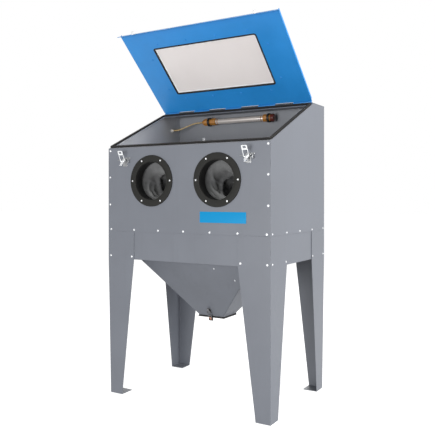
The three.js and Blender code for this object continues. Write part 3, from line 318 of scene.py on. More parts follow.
def closed_mesh(name, forms):
    """One mesh in metres, its doubles merged and its faces turned outwards."""
    points, faces = together(forms)
    mesh = bpy.data.meshes.new(name)
    mesh.from_pydata((points * MM).tolist(), [], faces)
    work = bmesh.new()
    work.from_mesh(mesh)
    bmesh.ops.remove_doubles(work, verts=work.verts, dist=2e-6)
    bmesh.ops.recalc_face_normals(work, faces=work.faces)
    work.to_mesh(mesh)
    work.free()
    return mesh


def make(name, forms, material, stands_for=None, body="cabinet", crease=32):
    """A piece of the model: smooth but for edges sharper than crease degrees, riding on its body."""
    mesh = closed_mesh(name, forms)
    mesh.polygons.foreach_set("use_smooth", np.ones(len(mesh.polygons), bool))
    mesh.set_sharp_from_angle(angle=math.radians(crease))
    mesh.materials.append(material)
    piece = bpy.data.objects.new(name, mesh)
    bpy.context.scene.collection.objects.link(piece)
    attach(piece, body)
    if stands_for:
        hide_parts(stands_for)
    return piece


def fused(forms, voxel, smoothing):
    """One closed skin around overlapping forms, from a grid of voxels, then evened out."""
    lump = bpy.data.objects.new("fused", closed_mesh("fused", forms))
    bpy.context.scene.collection.objects.link(lump)
    skin = lump.modifiers.new("skin", "REMESH")
    skin.mode = "VOXEL"
    skin.voxel_size = voxel * MM
    even = lump.modifiers.new("even", "SMOOTH")
    even.iterations = smoothing
    even.factor = 0.5
    depsgraph = bpy.context.evaluated_depsgraph_get()
    result = lump.evaluated_get(depsgraph).to_mesh()
    co = np.zeros(len(result.vertices) * 3, np.float32)
    result.vertices.foreach_get("co", co)
    polygons = [list(p.vertices) for p in result.polygons]
    bpy.data.objects.remove(lump)
    return co.reshape(-1, 3).astype(float) / MM, polygons


# ---------- finishes ----------
def node(tree, kind, values=None, **settings):
    made = tree.nodes.new(kind)
    for key, value in settings.items():
        setattr(made, key, value)
    for socket, value in (values or {}).items():
        if isinstance(value, bpy.types.NodeSocket):
            tree.links.new(value, made.inputs[socket])
        else:
            made.inputs[socket].default_value = value
    return made


def blank(name):
    material = bpy.data.materials.new(name)
    material.use_nodes = True
    tree = material.node_tree
    tree.nodes.clear()
    shader = node(tree, "ShaderNodeBsdfPrincipled")
    out = node(tree, "ShaderNodeOutputMaterial", {"Surface": shader.outputs[0]})
    out.location = (300, 0)
    return material, tree, shader


def noise(tree, coords, scale, detail=3.0, rough=0.5, stretch=None):
    if stretch:
        coords = node(tree, "ShaderNodeMapping", {"Vector": coords, "Scale": stretch}).outputs[0]
    values = {"Vector": coords, "Scale": scale, "Detail": detail, "Roughness": rough}
    return node(tree, "ShaderNodeTexNoise", values).outputs["Fac"]


def spread(tree, value, lo, hi, to_lo=0.0, to_hi=1.0):
    """The value's range from lo to hi carried to the range from to_lo to to_hi, and held at its ends."""
    values = {"Value": value, "From Min": lo, "From Max": hi, "To Min": to_lo, "To Max": to_hi}
    return node(tree, "ShaderNodeMapRange", values).outputs[0]


def calc(tree, how, a, b):
    return node(tree, "ShaderNodeMath", {0: a, 1: b}, operation=how, use_clamp=True).outputs[0]


def split(tree, vector):
    return node(tree, "ShaderNodeSeparateXYZ", {0: vector}).outputs


def size_of(tree, value):
    return node(tree, "ShaderNodeMath", {0: value}, operation="ABSOLUTE").outputs[0]


def mixed(tree, share, a, b):
    made = node(tree, "ShaderNodeMix", data_type="RGBA", blend_type="MIX")
    for socket, value in ((made.inputs[0], share), (made.inputs[6], a), (made.inputs[7], b)):
        if isinstance(value, bpy.types.NodeSocket):
            tree.links.new(value, socket)
        elif socket == made.inputs[0]:
            socket.default_value = value
        else:
            socket.default_value = (*value, 1.0)
    return made.outputs[2]


def times(colour, k):
    return tuple(min(1.0, c * k) for c in colour)


def chamber_cover(tree, coords, film):
    """Film times a slow cloud on the side of a sheet that faces the chamber, and nothing on its outer
    side: the sides part at the middle of the sheet."""
    axes = split(tree, coords)
    cover = spread(tree, noise(tree, coords, 4.0, 4.0, 0.6), 0.3, 0.7, 0.75, 1.0)
    walls = ((size_of(tree, axes[0]), SIDE, -1), (axes[1], FRONT, 1), (axes[1], REAR, -1))
    for value, face, inward in walls:
        middle = face + inward * SHEET / 2
        within = spread(tree, value, middle * MM, (middle + inward * 0.1) * MM)
        cover = calc(tree, "MULTIPLY", cover, within)
    return calc(tree, "MULTIPLY", cover, film)


def finish(
    name,
    colour,
    roughness=0.5,
    metallic=0.0,
    mottle=0.08,
    mottle_scale=5.0,
    grain=900.0,
    grain_depth=0.00008,
    grain_strength=0.3,
    stretch=None,
    rough_play=0.06,
    dust=0.0,
    worn=0.0,
    worn_colour=(0.5, 0.5, 0.5),
    edge=0.0,
    specular=0.5,
    coat=0.0,
    stains=0.0,
    film=0.0,
):
    """A base colour that drifts between a darker and a lighter tone, a fine grain in bump and roughness,
    dust on what faces up, dark runs down what stands upright and, where edge is set, rounded edges that
    wear to another colour. A film is the pale dust of the work, only on what faces the chamber."""
    material, tree, shader = blank(name)
    coords = node(tree, "ShaderNodeTexCoord").outputs["Object"]
    broad = noise(tree, coords, mottle_scale, 4.0, 0.6)
    tone = spread(tree, broad, 0.3, 0.7)
    colour_now = mixed(tree, tone, times(colour, 1 - mottle), times(colour, 1 + mottle))
    geometry = node(tree, "ShaderNodeNewGeometry")
    if stains:
        runs = noise(tree, coords, 9.0, 4.0, 0.65, stretch=(3.0, 3.0, 0.25))
        share = spread(tree, runs, 0.56, 0.78, 0.0, stains)
        colour_now = mixed(tree, share, colour_now, times(colour, 0.55))
    if dust:
        up = split(tree, geometry.outputs["Normal"])[2]
        lying = spread(tree, up, 0.2, 0.95, 0.0, dust)
        patch = spread(tree, noise(tree, coords, 22.0, 5.0, 0.7), 0.35, 0.65, 0.35, 1.0)
        colour_now = mixed(tree, calc(tree, "MULTIPLY", lying, patch), colour_now, (0.42, 0.39, 0.34))
    if film:
        colour_now = mixed(tree, chamber_cover(tree, coords, film), colour_now, (0.62, 0.63, 0.66))
    fine = noise(tree, coords, grain, 2.0, 0.5, stretch=stretch)
    bump = node(
        tree, "ShaderNodeBump", {"Height": fine, "Strength": grain_strength, "Distance": grain_depth}
    )
    if edge:
        bevel = node(tree, "ShaderNodeBevel", {"Radius": edge}, samples=4)
        tree.links.new(bevel.outputs[0], bump.inputs["Normal"])
        if worn:
            facing = node(
                tree,
                "ShaderNodeVectorMath",
                {0: bevel.outputs[0], 1: geometry.outputs["Normal"]},
                operation="DOT_PRODUCT",
            ).outputs["Value"]
            rubbed = spread(tree, facing, 0.985, 0.86, 0.0, 1.0)
            broken = spread(tree, noise(tree, coords, 60.0, 4.0, 0.7), 0.42, 0.62, 0.0, worn)
            colour_now = mixed(tree, calc(tree, "MULTIPLY", rubbed, broken), colour_now, worn_colour)
    tree.links.new(colour_now, shader.inputs["Base Color"])
    drift = spread(tree, broad, 0.3, 0.7, roughness - rough_play, roughness + rough_play)
    speckle = spread(tree, fine, 0.3, 0.7, 0.0, 0.04)
    tree.links.new(calc(tree, "ADD", drift, speckle), shader.inputs["Roughness"])
    tree.links.new(bump.outputs[0], shader.inputs["Normal"])
    shader.inputs["Metallic"].default_value = metallic
    shader.inputs["Specular IOR Level"].default_value = specular
    shader.inputs["Coat Weight"].default_value = coat
    shader.inputs["Coat Roughness"].default_value = 0.15
    return material


GREY_PAINT = (0.159, 0.171, 0.199)
BLUE_PAINT = (0.022, 0.27, 0.7)
SHEET_LOOK = {
    "mottle": 0.05, "mottle_scale": 3.0, "grain": 1100, "stains": 0.1,
    "dust": 0.06, "worn": 0.5, "worn_colour": (0.42, 0.44, 0.46), "edge": 0.0012,
}
body_grey = finish("grey_powder_coat", GREY_PAINT, 0.42, **SHEET_LOOK)
shell_grey = finish("grey_powder_coat_filmed", GREY_PAINT, 0.42, film=0.85, **SHEET_LOOK)
rear_grey = finish("grey_powder_coat_rear", GREY_PAINT, 0.42, film=0.3, **SHEET_LOOK)
inner_grey = finish(
    "grey_powder_coat_dusty", times(GREY_PAINT, 0.92), 0.55, mottle=0.1, grain=1100, stains=0.25,
    dust=0.25, worn=0.4, worn_colour=(0.4, 0.41, 0.42), edge=0.0012,
)
lid_blue = finish(
    "blue_powder_coat", BLUE_PAINT, 0.4, mottle=0.07, mottle_scale=4.0, grain=1000, stains=0.08,
    worn=0.5, worn_colour=(0.2, 0.35, 0.5), edge=0.0012,
)
frame_blue = finish(
    "blue_frame_coat", times(BLUE_PAINT, 0.8), 0.42, mottle=0.07, grain=1000, worn=0.5,
    worn_colour=(0.3, 0.35, 0.4), edge=0.0008,
)
plate_blue = finish(
    "blue_plate", (0.002, 0.27, 0.57), 0.45, mottle=0.03, grain=1400, grain_depth=0.00003, specular=0.15,
)
foam_black = finish(
    "black_foam", (0.018, 0.017, 0.017), 0.92, mottle=0.25, mottle_scale=60, grain=420,
    grain_depth=0.0006, grain_strength=0.8, dust=0.12, specular=0.2,
)
rubber_black = finish(
    "black_rubber", (0.02, 0.02, 0.021), 0.7, mottle=0.2, mottle_scale=30, grain=700, dust=0.1,
    specular=0.3,
)
ring_black = finish(
    "black_clamping_ring", (0.011, 0.011, 0.0095), 0.6, mottle=0.14, mottle_scale=16, grain=520,
    grain_depth=0.00025, grain_strength=0.5, dust=0.03, specular=0.22,
)
door_black = finish(
    "black_paint", (0.012, 0.012, 0.014), 0.45, mottle=0.2, mottle_scale=30, grain=900, edge=0.0006,
    worn=0.5, worn_colour=(0.1, 0.1, 0.1), specular=0.35,
)
# Partly painted shade: the sleeve is near black, darker than the clamping ring, and stands in part for the
# shade inside the port's tube.
port_black_painted_shade = finish("black_port_painted_shade", (0.008, 0.008, 0.008), 0.6, mottle=0.2, grain=600, specular=0.3)
zinc = finish(
    "zinc_plate", (0.74, 0.75, 0.77), 0.28, 1.0, mottle=0.1, mottle_scale=70, grain=900,
    grain_depth=0.00005, rough_play=0.08,
)
screw_zinc = finish(
    "screw_zinc", (0.8, 0.81, 0.82), 0.35, 0.55, mottle=0.08, mottle_scale=120, grain=1200,
    grain_depth=0.00003,
)
# Painted shade: a darker copy of the bright plate on the lever and bail, so the base behind them reads as
# dark gaps; its worn edges show the bright plate.
latch_base_painted_shade = finish(
    "latch_base_painted_shade", (0.3, 0.305, 0.31), 0.28, 1.0, mottle=0.12, mottle_scale=90, grain=700,
    edge=0.0005, worn=0.6, worn_colour=(0.8, 0.8, 0.8),
)
bright_plate = finish(
    "bright_plate", (0.78, 0.79, 0.8), 0.2, 1.0, mottle=0.08, mottle_scale=90, grain=700,
    grain_depth=0.00004, rough_play=0.06,
)
dull_zinc = finish("dull_zinc", (0.16, 0.16, 0.17), 0.32, 0.8, mottle=0.2, mottle_scale=90, grain=900)
# Painted shade: near black, so the fixed hinge leaf reads as the dark gap under the lid.
hinge_painted_shade = finish(
    "hinge_painted_shade", (0.05, 0.055, 0.065), 0.5, mottle=0.12, grain=900, worn=0.4, edge=0.0005,
)
copper_plate = finish(
    "copper_plate", (0.36, 0.19, 0.13), 0.34, 0.8, mottle=0.25, mottle_scale=80, grain=800,
)
grate_steel = finish(
    "bare_steel", (0.3, 0.3, 0.31), 0.5, 0.8, mottle=0.2, mottle_scale=18, grain=260, grain_depth=0.0002,
    dust=0.35, stretch=(1, 8, 1),
)
tube_satin = finish(
    "satin_tube", (0.78, 0.72, 0.68), 0.3, 0.35, mottle=0.05, mottle_scale=12, grain=300,
    grain_depth=0.00004, stretch=(0.03, 1, 1),
)
amber = finish(
    "amber_moulding", (0.47, 0.2, 0.035), 0.3, mottle=0.22, mottle_scale=45, grain=500,
    grain_depth=0.00012, coat=0.3,
)
dark_red = finish(
    "dark_red_cap", (0.12, 0.02, 0.014), 0.4, mottle=0.25, mottle_scale=50, grain=500, coat=0.2,
)
lead_tan = finish(
    "cream_sheath", (0.62, 0.45, 0.2), 0.35, mottle=0.15, mottle_scale=60, grain=700, coat=0.25,
)
gland_white = finish(
    "nickel_gland", (0.86, 0.83, 0.8), 0.35, 0.2, mottle=0.1, mottle_scale=80, grain=700,
)
inlet_brass = finish("brass", (0.62, 0.43, 0.16), 0.3, 1.0, mottle=0.15, mottle_scale=60, grain=600)
gun_alloy = finish(
    "cast_alloy", (0.42, 0.43, 0.44), 0.45, 0.9, mottle=0.14, mottle_scale=50, grain=420,
    grain_depth=0.0002,
)
ceramic = finish("fired_ceramic", (0.78, 0.73, 0.64), 0.55, mottle=0.07, mottle_scale=70, grain=800)
moulded_black = finish("moulded_black", (0.02, 0.02, 0.021), 0.45, mottle=0.2, mottle_scale=60, grain=600)


def glove_finish():
    """Rubberised cloth: a fine weave from two crossed waves, soft creases from noise, a paler bloom that
    drifts, a painted highlight as a paler tone low down near the cuff, and painted shade as a darker
    tone away from the cuff, deep in the glove."""
    material, tree, shader = blank("rubberised_cloth")
    coords = node(tree, "ShaderNodeTexCoord").outputs["Object"]
    crease = noise(tree, coords, 15.0, 4.0, 0.55)
    weave = []
    for direction in ("X", "Z"):
        wave = node(
            tree,
            "ShaderNodeTexWave",
            {"Vector": coords, "Scale": 190.0, "Distortion": 1.5, "Detail": 1.0},
            bands_direction=direction,
        )
        weave.append(wave.outputs["Fac"])
    cloth = calc(tree, "MULTIPLY", weave[0], weave[1])
    height = calc(tree, "ADD", calc(tree, "MULTIPLY", cloth, 0.25), calc(tree, "MULTIPLY", crease, 0.7))
    bump = node(tree, "ShaderNodeBump", {"Height": height, "Strength": 0.4, "Distance": 0.003})
    bloom = spread(tree, noise(tree, coords, 7.0, 3.0, 0.55), 0.38, 0.66)
    colour = mixed(tree, bloom, (0.12, 0.121, 0.123), (0.22, 0.223, 0.226))
    axes = split(tree, coords)
    # Painted highlight: below the port's middle the cloth turns a paler grey.
    under = spread(tree, axes[2], (PORT_Z - 22) * MM, (PORT_Z - 62) * MM, 0.0, 0.75)
    colour = mixed(tree, under, colour, (0.3, 0.305, 0.3))
    # Painted shade: deeper in the glove, away from the cuff, the cloth darkens to near black.
    behind = spread(tree, axes[1], (FRONT + 85) * MM, (FRONT + 175) * MM)
    colour = mixed(tree, behind, colour, (0.045, 0.046, 0.047))
    tree.links.new(colour, shader.inputs["Base Color"])
    tree.links.new(spread(tree, crease, 0.3, 0.7, 0.38, 0.62), shader.inputs["Roughness"])
    tree.links.new(bump.outputs[0], shader.inputs["Normal"])
    shader.inputs["Sheen Weight"].default_value = 0.25
    shader.inputs["Sheen Roughness"].default_value = 0.5
    return material


def pane_finish():
    """A clear pane behind a milky film: the film stops short of the edge, where a white border shows, and
    drifts a little in tone."""
    material, tree, shader = blank("window_pane")
    coords = node(tree, "ShaderNodeTexCoord").outputs["Object"]
    mapping = node(
        tree,
        "ShaderNodeMapping",
        {
            "Vector": coords,
            "Location": (0, AXIS_Y * MM, AXIS_Z * MM),
            "Rotation": (-LID_OPEN, 0, 0),
        },
        vector_type="TEXTURE",
    )
    axes = split(tree, mapping.outputs[0])
    across = size_of(tree, axes[0])
    along = node(tree, "ShaderNodeMath", {0: axes[1], 1: WINDOW_MIDDLE * MM}, operation="ADD").outputs[0]
    along = size_of(tree, along)
    near_side = spread(tree, across, (WINDOW_HALF - 11) * MM, (WINDOW_HALF - 9.5) * MM)
    near_end = spread(tree, along, (WINDOW_LENGTH / 2 - 11) * MM, (WINDOW_LENGTH / 2 - 9.5) * MM)
    border = calc(tree, "MAXIMUM", near_side, near_end)
    drift = spread(tree, noise(tree, coords, 2.6, 2.0, 0.5), 0.35, 0.65)
    film = mixed(tree, drift, (0.88, 0.83, 0.815), (0.93, 0.88, 0.865))
    tree.links.new(mixed(tree, border, film, (1.0, 1.0, 1.0)), shader.inputs["Base Color"])
    haze = noise(tree, coords, 500.0, 2.0)
    bump = node(tree, "ShaderNodeBump", {"Height": haze, "Strength": 0.15, "Distance": 0.0001})
    tree.links.new(bump.outputs[0], shader.inputs["Normal"])
    tree.links.new(spread(tree, drift, 0.0, 1.0, 0.2, 0.28), shader.inputs["Roughness"])
    shader.inputs["Transmission Weight"].default_value = 0.2
    shader.inputs["IOR"].default_value = 1.49
    return material


glove_cloth = glove_finish()
window_pane = pane_finish()


def coat(material, *names):
    for name in names:
        for s in NODES[name].material_slots:
            s.material = material


coat(shell_grey, "front_panel", "left_panel", "right_panel")
coat(rear_grey, "rear_panel")
coat(body_grey, "top_rail")
for corner in ("front_right", "front_left", "rear_right", "rear_left"):
    coat(body_grey, f"leg_{corner}")
for side_name in ("front", "rear", "right", "left"):
    coat(body_grey, f"apron_{side_name}")
coat(inner_grey, "hopper_front", "hopper_rear", "hopper_right", "hopper_left")
coat(door_black, "dump_door")
coat(rubber_black, "outlet_seal")
coat(zinc, "dump_door_pin", "hinge_pin")
coat(grate_steel, "work_grate")
coat(lid_blue, "lid_panel")
coat(frame_blue, "window_frame")
coat(window_pane, "window_glass")


# ---------- glove ports ----------
def port_pieces():
    """Each port: a clamping ring with a bead round its mouth, and a turned sleeve with a flange and a
    rolled end that the glove is clamped on."""
    back = FRONT - 2 * GAP
    face = back - RING_THICK
    sleeve_radius = PORT_RADIUS + 3
    inner = FRONT + SHEET + GAP
    lip = FRONT + 46
    flange_radius = 116
    rolled_radius = 96
    bolt_circle = 110.4
    seat = face + 0.1
    band = [[PORT_RADIUS, back], [PORT_RADIUS, face], [RING_OUTER, face], [RING_OUTER, back]]
    ring = softened(band, 1.1, 4)
    bead = softened([[91.2, back - 4], [91.2, back - 6.2], [95.5, back - 6.2], [97, back - 4]], 0.8, 4)
    outline = [
        [PORT_RADIUS, FRONT - GAP], [sleeve_radius, FRONT - GAP], [sleeve_radius, inner],
        [flange_radius, inner], [flange_radius, inner + SHEET], [sleeve_radius, inner + SHEET],
        [sleeve_radius, lip - 5], [rolled_radius, lip - 4], [rolled_radius, lip - 1],
        [sleeve_radius, lip], [PORT_RADIUS, lip],
    ]
    tube = softened(outline, 0.45, 3)
    for name, s in (("left", -1), ("right", 1)):
        centre = (s * PORT_X, 0, PORT_Z)
        forms = [
            turned_form(ring, "y", centre, 96, closed=True),
            turned_form(bead, "y", centre, 96, closed=True),
        ]
        make(f"clamping_ring_{name}", forms, ring_black, f"glove_ring_{name}")
        sleeve = turned_form(tube, "y", centre, 96, closed=True)
        # The sleeve's near-black finish is partly painted shade inside the tube.
        make(f"port_sleeve_{name}", [sleeve], port_black_painted_shade, f"glove_sleeve_{name}")
        angles = np.radians(np.arange(6) * 60)
        places = [
            (centre[0] + bolt_circle * math.cos(a), seat, PORT_Z + bolt_circle * math.sin(a))
            for a in angles
        ]
        make(f"ring_screws_{name}", screws(places, FACING["front"], SMALL_SCREW), screw_zinc)


# ---------- gloves ----------
def smooth_between(x, lo, hi):
    t = np.clip((x - lo) / (hi - lo), 0, 1)
    return t * t * (3 - 2 * t)


def glove_arm(s):
    """The route gives distance behind the front, drop and radius. Round each station the radius is drawn
    in by two slanting creases, by small wrinkles low down near the cuff and by pleats that start at the
    cuff, and the top sags between cuff and wrist."""
    cuff = (PORT_RADIUS + 3 + GAP) / math.cos(math.pi / 24) + 2.6
    route = curve_through(
        [[22, 0, cuff], [48, 0, cuff], [110, 8, 85], [190, 32, 69], [265, 70, 56], [325, 108, 46]], 30
    )
    along, drop, radius = route.T
    pitch = np.arctan2(np.gradient(drop), np.gradient(along)) * smooth_between(along, 50, 90)
    a = np.linspace(0, 2 * math.pi, 180, endpoint=False)
    z, th = np.meshgrid(along, a, indexing="ij")
    free = smooth_between(z, 50, 96)
    middle = free * (1 - smooth_between(z, 268, 318))
    slant = z / 118 + 0.3 * np.sin(th + 1.5 + 0.5 * s) + 0.08 * np.sin(2 * th - z / 60)
    crease = (0.5 + 0.5 * np.cos(2 * math.pi * slant)) ** 9
    turned = z / 122 - 0.4 * np.sin(th + 2.4 * s) + 0.15 * np.cos(3 * th)
    second = (0.5 + 0.5 * np.cos(2 * math.pi * turned)) ** 7
    pleat = (0.5 + 0.5 * np.cos(6 * th + 1.2 * np.sin(z / 60) + 0.6 * np.sin(2 * th))) ** 4
    inward = middle * (12.0 * crease + 6.0 * second)
    low = smooth_between(-np.sin(th + 0.35), 0.1, 0.7) * free * (1 - smooth_between(z, 150, 210))
    inward = inward + 3.4 * low * (0.5 + 0.5 * np.cos(z / 5.2 + 2.2 * np.sin(2.3 * th + s))) ** 2
    inward = inward + free * 4.0 * pleat * (1 - smooth_between(z, 100, 220)) + 1.5 * free
    sag = 30 * middle * np.clip(np.sin(th), 0, 1) ** 1.3

    def skin(inset):
        r = radius[:, None] - inward - inset
        x = s * PORT_X + r * np.cos(th)
        up = r * np.sin(th)
        y = FRONT + z + up * np.sin(pitch)[:, None]
        height = PORT_Z - drop[:, None] + up * np.cos(pitch)[:, None] - sag
        return np.stack([x, y, height], -1)

    shell = np.concatenate([skin(0.0), skin(2.4)[::-1]])
    return grid_form(shell, wrap_rows=True, wrap_columns=True)


def glove_hand(s):
    """Palm, four curled fingers and a thumb as tapering rods, then one skin around them all."""
    palm_angle = np.linspace(0, 2 * math.pi, 32, endpoint=False)
    reach = np.linspace(0, 1, 20)
    v, u = np.meshgrid(reach, palm_angle, indexing="ij")
    round_end = np.sqrt(np.clip(1 - (2 * v - 1) ** 4, 0, 1))
    half = 42 + 8 * v
    palm = np.stack([half * round_end * np.cos(u), -66 + 118 * v, 25 * round_end * np.sin(u)], -1)
    forms = [grid_form(palm, wrap_columns=True)]
    for i in range(4):
        out = (i - 1.5) * 23
        length = 74 - abs(i - 1.5) * 9
        middle, end = 48 + length * 0.5, 48 + length
        joints = [[out * 0.9, 10, 0], [out, 48, 1], [out * 1.12, middle, -4], [out * 1.2, end, -18]]
        path = curve_through(joints, 8)
        t = np.linspace(0, 1, len(path))
        taper = (15.5 - 3.2 * t) * np.sqrt(np.clip(1 - np.clip((t - 0.86) / 0.14, 0, 1) ** 2.2, 0.02, 1))
        knuckle = 1 + 0.05 * np.cos(t * 15)
        forms.append(swept(circle(1.0, 16), path, (1, 0, 0), scale=np.stack([taper * knuckle] * 2, 1)))
    thumb = curve_through([[-s * 22, -28, -2], [-s * 52, 2, -8], [-s * 70, 34, -14], [-s * 74, 60, -18]], 8)
    t = np.linspace(0, 1, len(thumb))
    taper = (18 - 4 * t) * np.sqrt(np.clip(1 - np.clip((t - 0.84) / 0.16, 0, 1) ** 2.2, 0.02, 1))
    forms.append(swept(circle(1.0, 16), thumb, (0, 0, 1), scale=np.stack([taper] * 2, 1)))
    hand = placed(
        together(forms), shift(s * PORT_X, FRONT + 325 + 34, PORT_Z - 108 - 22), turn("x", -0.5)
    )
    points, faces = fused([hand], 3.2, 5)
    x, y = points[:, 0], points[:, 1]
    wrinkle = 0.9 * np.sin(y / 4.2 + 1.4 * np.sin(x / 9)) * np.exp(-(((y - 12) / 26) ** 2))
    return points + wrinkle[:, None] * [0, 0, 1], faces


def glove_pieces():
    for name, s in (("left", -1), ("right", 1)):
        wrist = (s * PORT_X, FRONT + 318, PORT_Z - 104)
        inner, outer, half = 43.5, 48.6, 9
        band = softened([[inner, -half], [outer, -half], [outer, half], [inner, half]], 1.6, 4)
        strap = placed(turned_form(band, "y", (0, 0, 0), 72, closed=True), shift(*wrist), turn("x", -0.5))
        forms = [glove_arm(s), glove_hand(s), strap]
        make(f"gauntlet_{name}", forms, glove_cloth, f"glove_{name}", crease=70)


# ---------- screws ----------
def mirrored(pairs):
    return [(s * x, z) for x, z in pairs for s in (1, -1)]


def screw_rows():
    row = [(-432 + 144 * i, 820.0) for i in range(7)]
    top = mirrored([(439, 1210)])
    corner = mirrored([(439, 1078), (439, 943)])
    legs = mirrored([(434, 689), (303, 689)])
    heads = screws([(x, FRONT, z) for x, z in row + corner + legs], FACING["front"], FRONT_SCREW)
    heads += screws([(x, FRONT, z) for x, z in top], FACING["front"], LOW_SCREW)
    make("front_screws", heads, screw_zinc)
    back = [(x, REAR, z) for x, z in row + top + corner + legs]
    make("back_screws", screws(back, FACING["back"], FRONT_SCREW), screw_zinc)
    upper = [(-297 + 148.5 * k, 820.5) for k in range(5)]
    lower = [(y, 690.0) for y in (-297, -158, 158, 297)]
    for name, s in (("right", 1), ("left", -1)):
        places = [(s * SIDE, y, z) for y, z in upper + lower]
        make(f"side_screws_{name}", screws(places, FACING[name], SIDE_SCREW), screw_zinc)
    out = turn("x", HOPPER_LEAN) @ FACING["front"]
    places = [
        (x, -MOUTH_Y - (z - MOUTH_Z) * math.tan(HOPPER_LEAN) - 0.2, z)
        for x, z in ((104.7, 643.4), (201.1, 590.7))
    ]
    make("hopper_screws", screws(places, out, SMALL_SCREW), screw_zinc)
    rail = [(x, 243.0, RAIL_TOP) for x in (-420, -210, 0, 210, 420)]
    make("rail_screws", screws(rail, FACING["up"], SMALL_SCREW), screw_zinc)


# ---------- rim gasket ----------
def gasket():
    """A rounded strip carried once round the sloping rim."""
    half = 7
    x = SIDE - 0.5 - half
    far = half - (AXIS_Y - FRONT) / math.cos(SLOPE) + AXIS_RISE * math.tan(SLOPE)
    near = -(KNUCKLE_RADIUS + 3 + half)
    path = softened([[x, near, 0], [x, far, 0], [-x, far, 0], [-x, near, 0]], 9, 9)
    low, high = GAP - AXIS_RISE, 1.4
    profile = softened([[-half, low], [half, low], [half, high], [-half, high]], 1.6, 4)
    form = swept(profile, path, (0, 0, 1), closed=True)
    points = form[0]
    points = points + 0.12 * np.sin(points[:, :1] / 7.0) * [0, 0, 1]
    make("rim_gasket", [placed((points, form[1]), RIM)], foam_black, "lid_seal")


# ---------- lamp ----------
def lamp():
    y, z = REAR - 45, RAIL_TOP - 44
    axis = (0, y, z)
    start, stop = -170, 126
    tube = rod(15, start + GAP, stop - GAP, "x", axis, 0.8, 64)
    bands = [rod(15.5, x - 2.2, x + 2.2, "x", axis, 0.5, 64) for x in (start + 12, stop - 12)]
    end_x = start - 87.0
    make("lamp_tube_satin", [tube], tube_satin, "lamp_tube")
    make("lamp_tube_bands", bands, amber)
    left = [
        rod(20.5, start - 26, start, "x", axis, 1.6, 64, flats=8),
        rod(17.2, start - 64, start - 20, "x", axis, 1.0, 64),
        rod(20.5, start - 76, start - 54, "x", axis, 1.6, 64, flats=8),
        rod(12.5, end_x, start - 70, "x", axis, 2.4, 48),
    ]
    make("lamp_left_collars", left, amber, "lamp_cap_left")
    right = [
        rod(20.5, stop, stop + 22, "x", axis, 1.6, 64, flats=8),
        rod(17.5, stop + 14, stop + 46, "x", axis, 1.0, 64),
    ]
    make("lamp_right_collar", right, amber, "lamp_cap_right")
    end = rod(20.0, stop + 42, stop + 64, "x", axis, 4.5, 64)
    make("lamp_end_plug", [end], dark_red)
    wall = REAR - SHEET - GAP
    clips = (-213.5, 158.0)
    strip = plate((clips[1] - clips[0]) / 2 + 12, 9, 3, SHEET, 0.5)
    forms = [placed(strip, shift(sum(clips) / 2, wall, z), FACING["front"])]
    for x in clips:
        ring = softened([[20.8, -6], [24.5, -6], [24.5, 6], [20.8, 6]], 0.8, 4)
        forms.append(turned_form(ring, "x", (x, y, z), 64, closed=True))
        forms.append(placed(plate(6, 4, 1.2, wall - y - 21, 0.5), shift(x, wall, z), FACING["front"]))
    make("lamp_mount", forms, moulded_black, "lamp_bracket")

    gland_y, gland_z = REAR - 84, RAIL_TOP - 83
    gland_end = -SIDE + SHEET + 15
    points = [
        (end_x - GAP, y, z),
        (end_x - 22, y, z),
        (end_x - 58, y - 6, z - 4),
        (end_x - 96, y - 22, z - 20),
        (end_x - 130, y - 34, z - 34),
        (gland_end + 22, gland_y, gland_z),
        (gland_end + GAP, gland_y, gland_z),
    ]
    path = curve_through(points, 10)
    sheath = wire(path, LEAD_RADIUS, (0, 0.7, -0.7), count=20)
    lead = make("lamp_lead_sheath", [sheath], lead_tan, "lamp_lead")
    centre = (0, gland_y, gland_z)
    wall = -SIDE
    forms = [
        rod(11, wall + SHEET + GAP, wall + SHEET + 7.6, "x", centre, 0.9, 48, flats=6),
        rod(8.6, wall + 6, wall + 13, "x", centre, 1.2, 48),
        rod(7.0, wall - 5, wall + 16, "x", centre, 1.4, 48),
        rod(11, wall - 5.3, wall - GAP, "x", centre, 0.9, 48, flats=6),
    ]
    make("lead_gland", forms, gland_white, "lamp_gland")


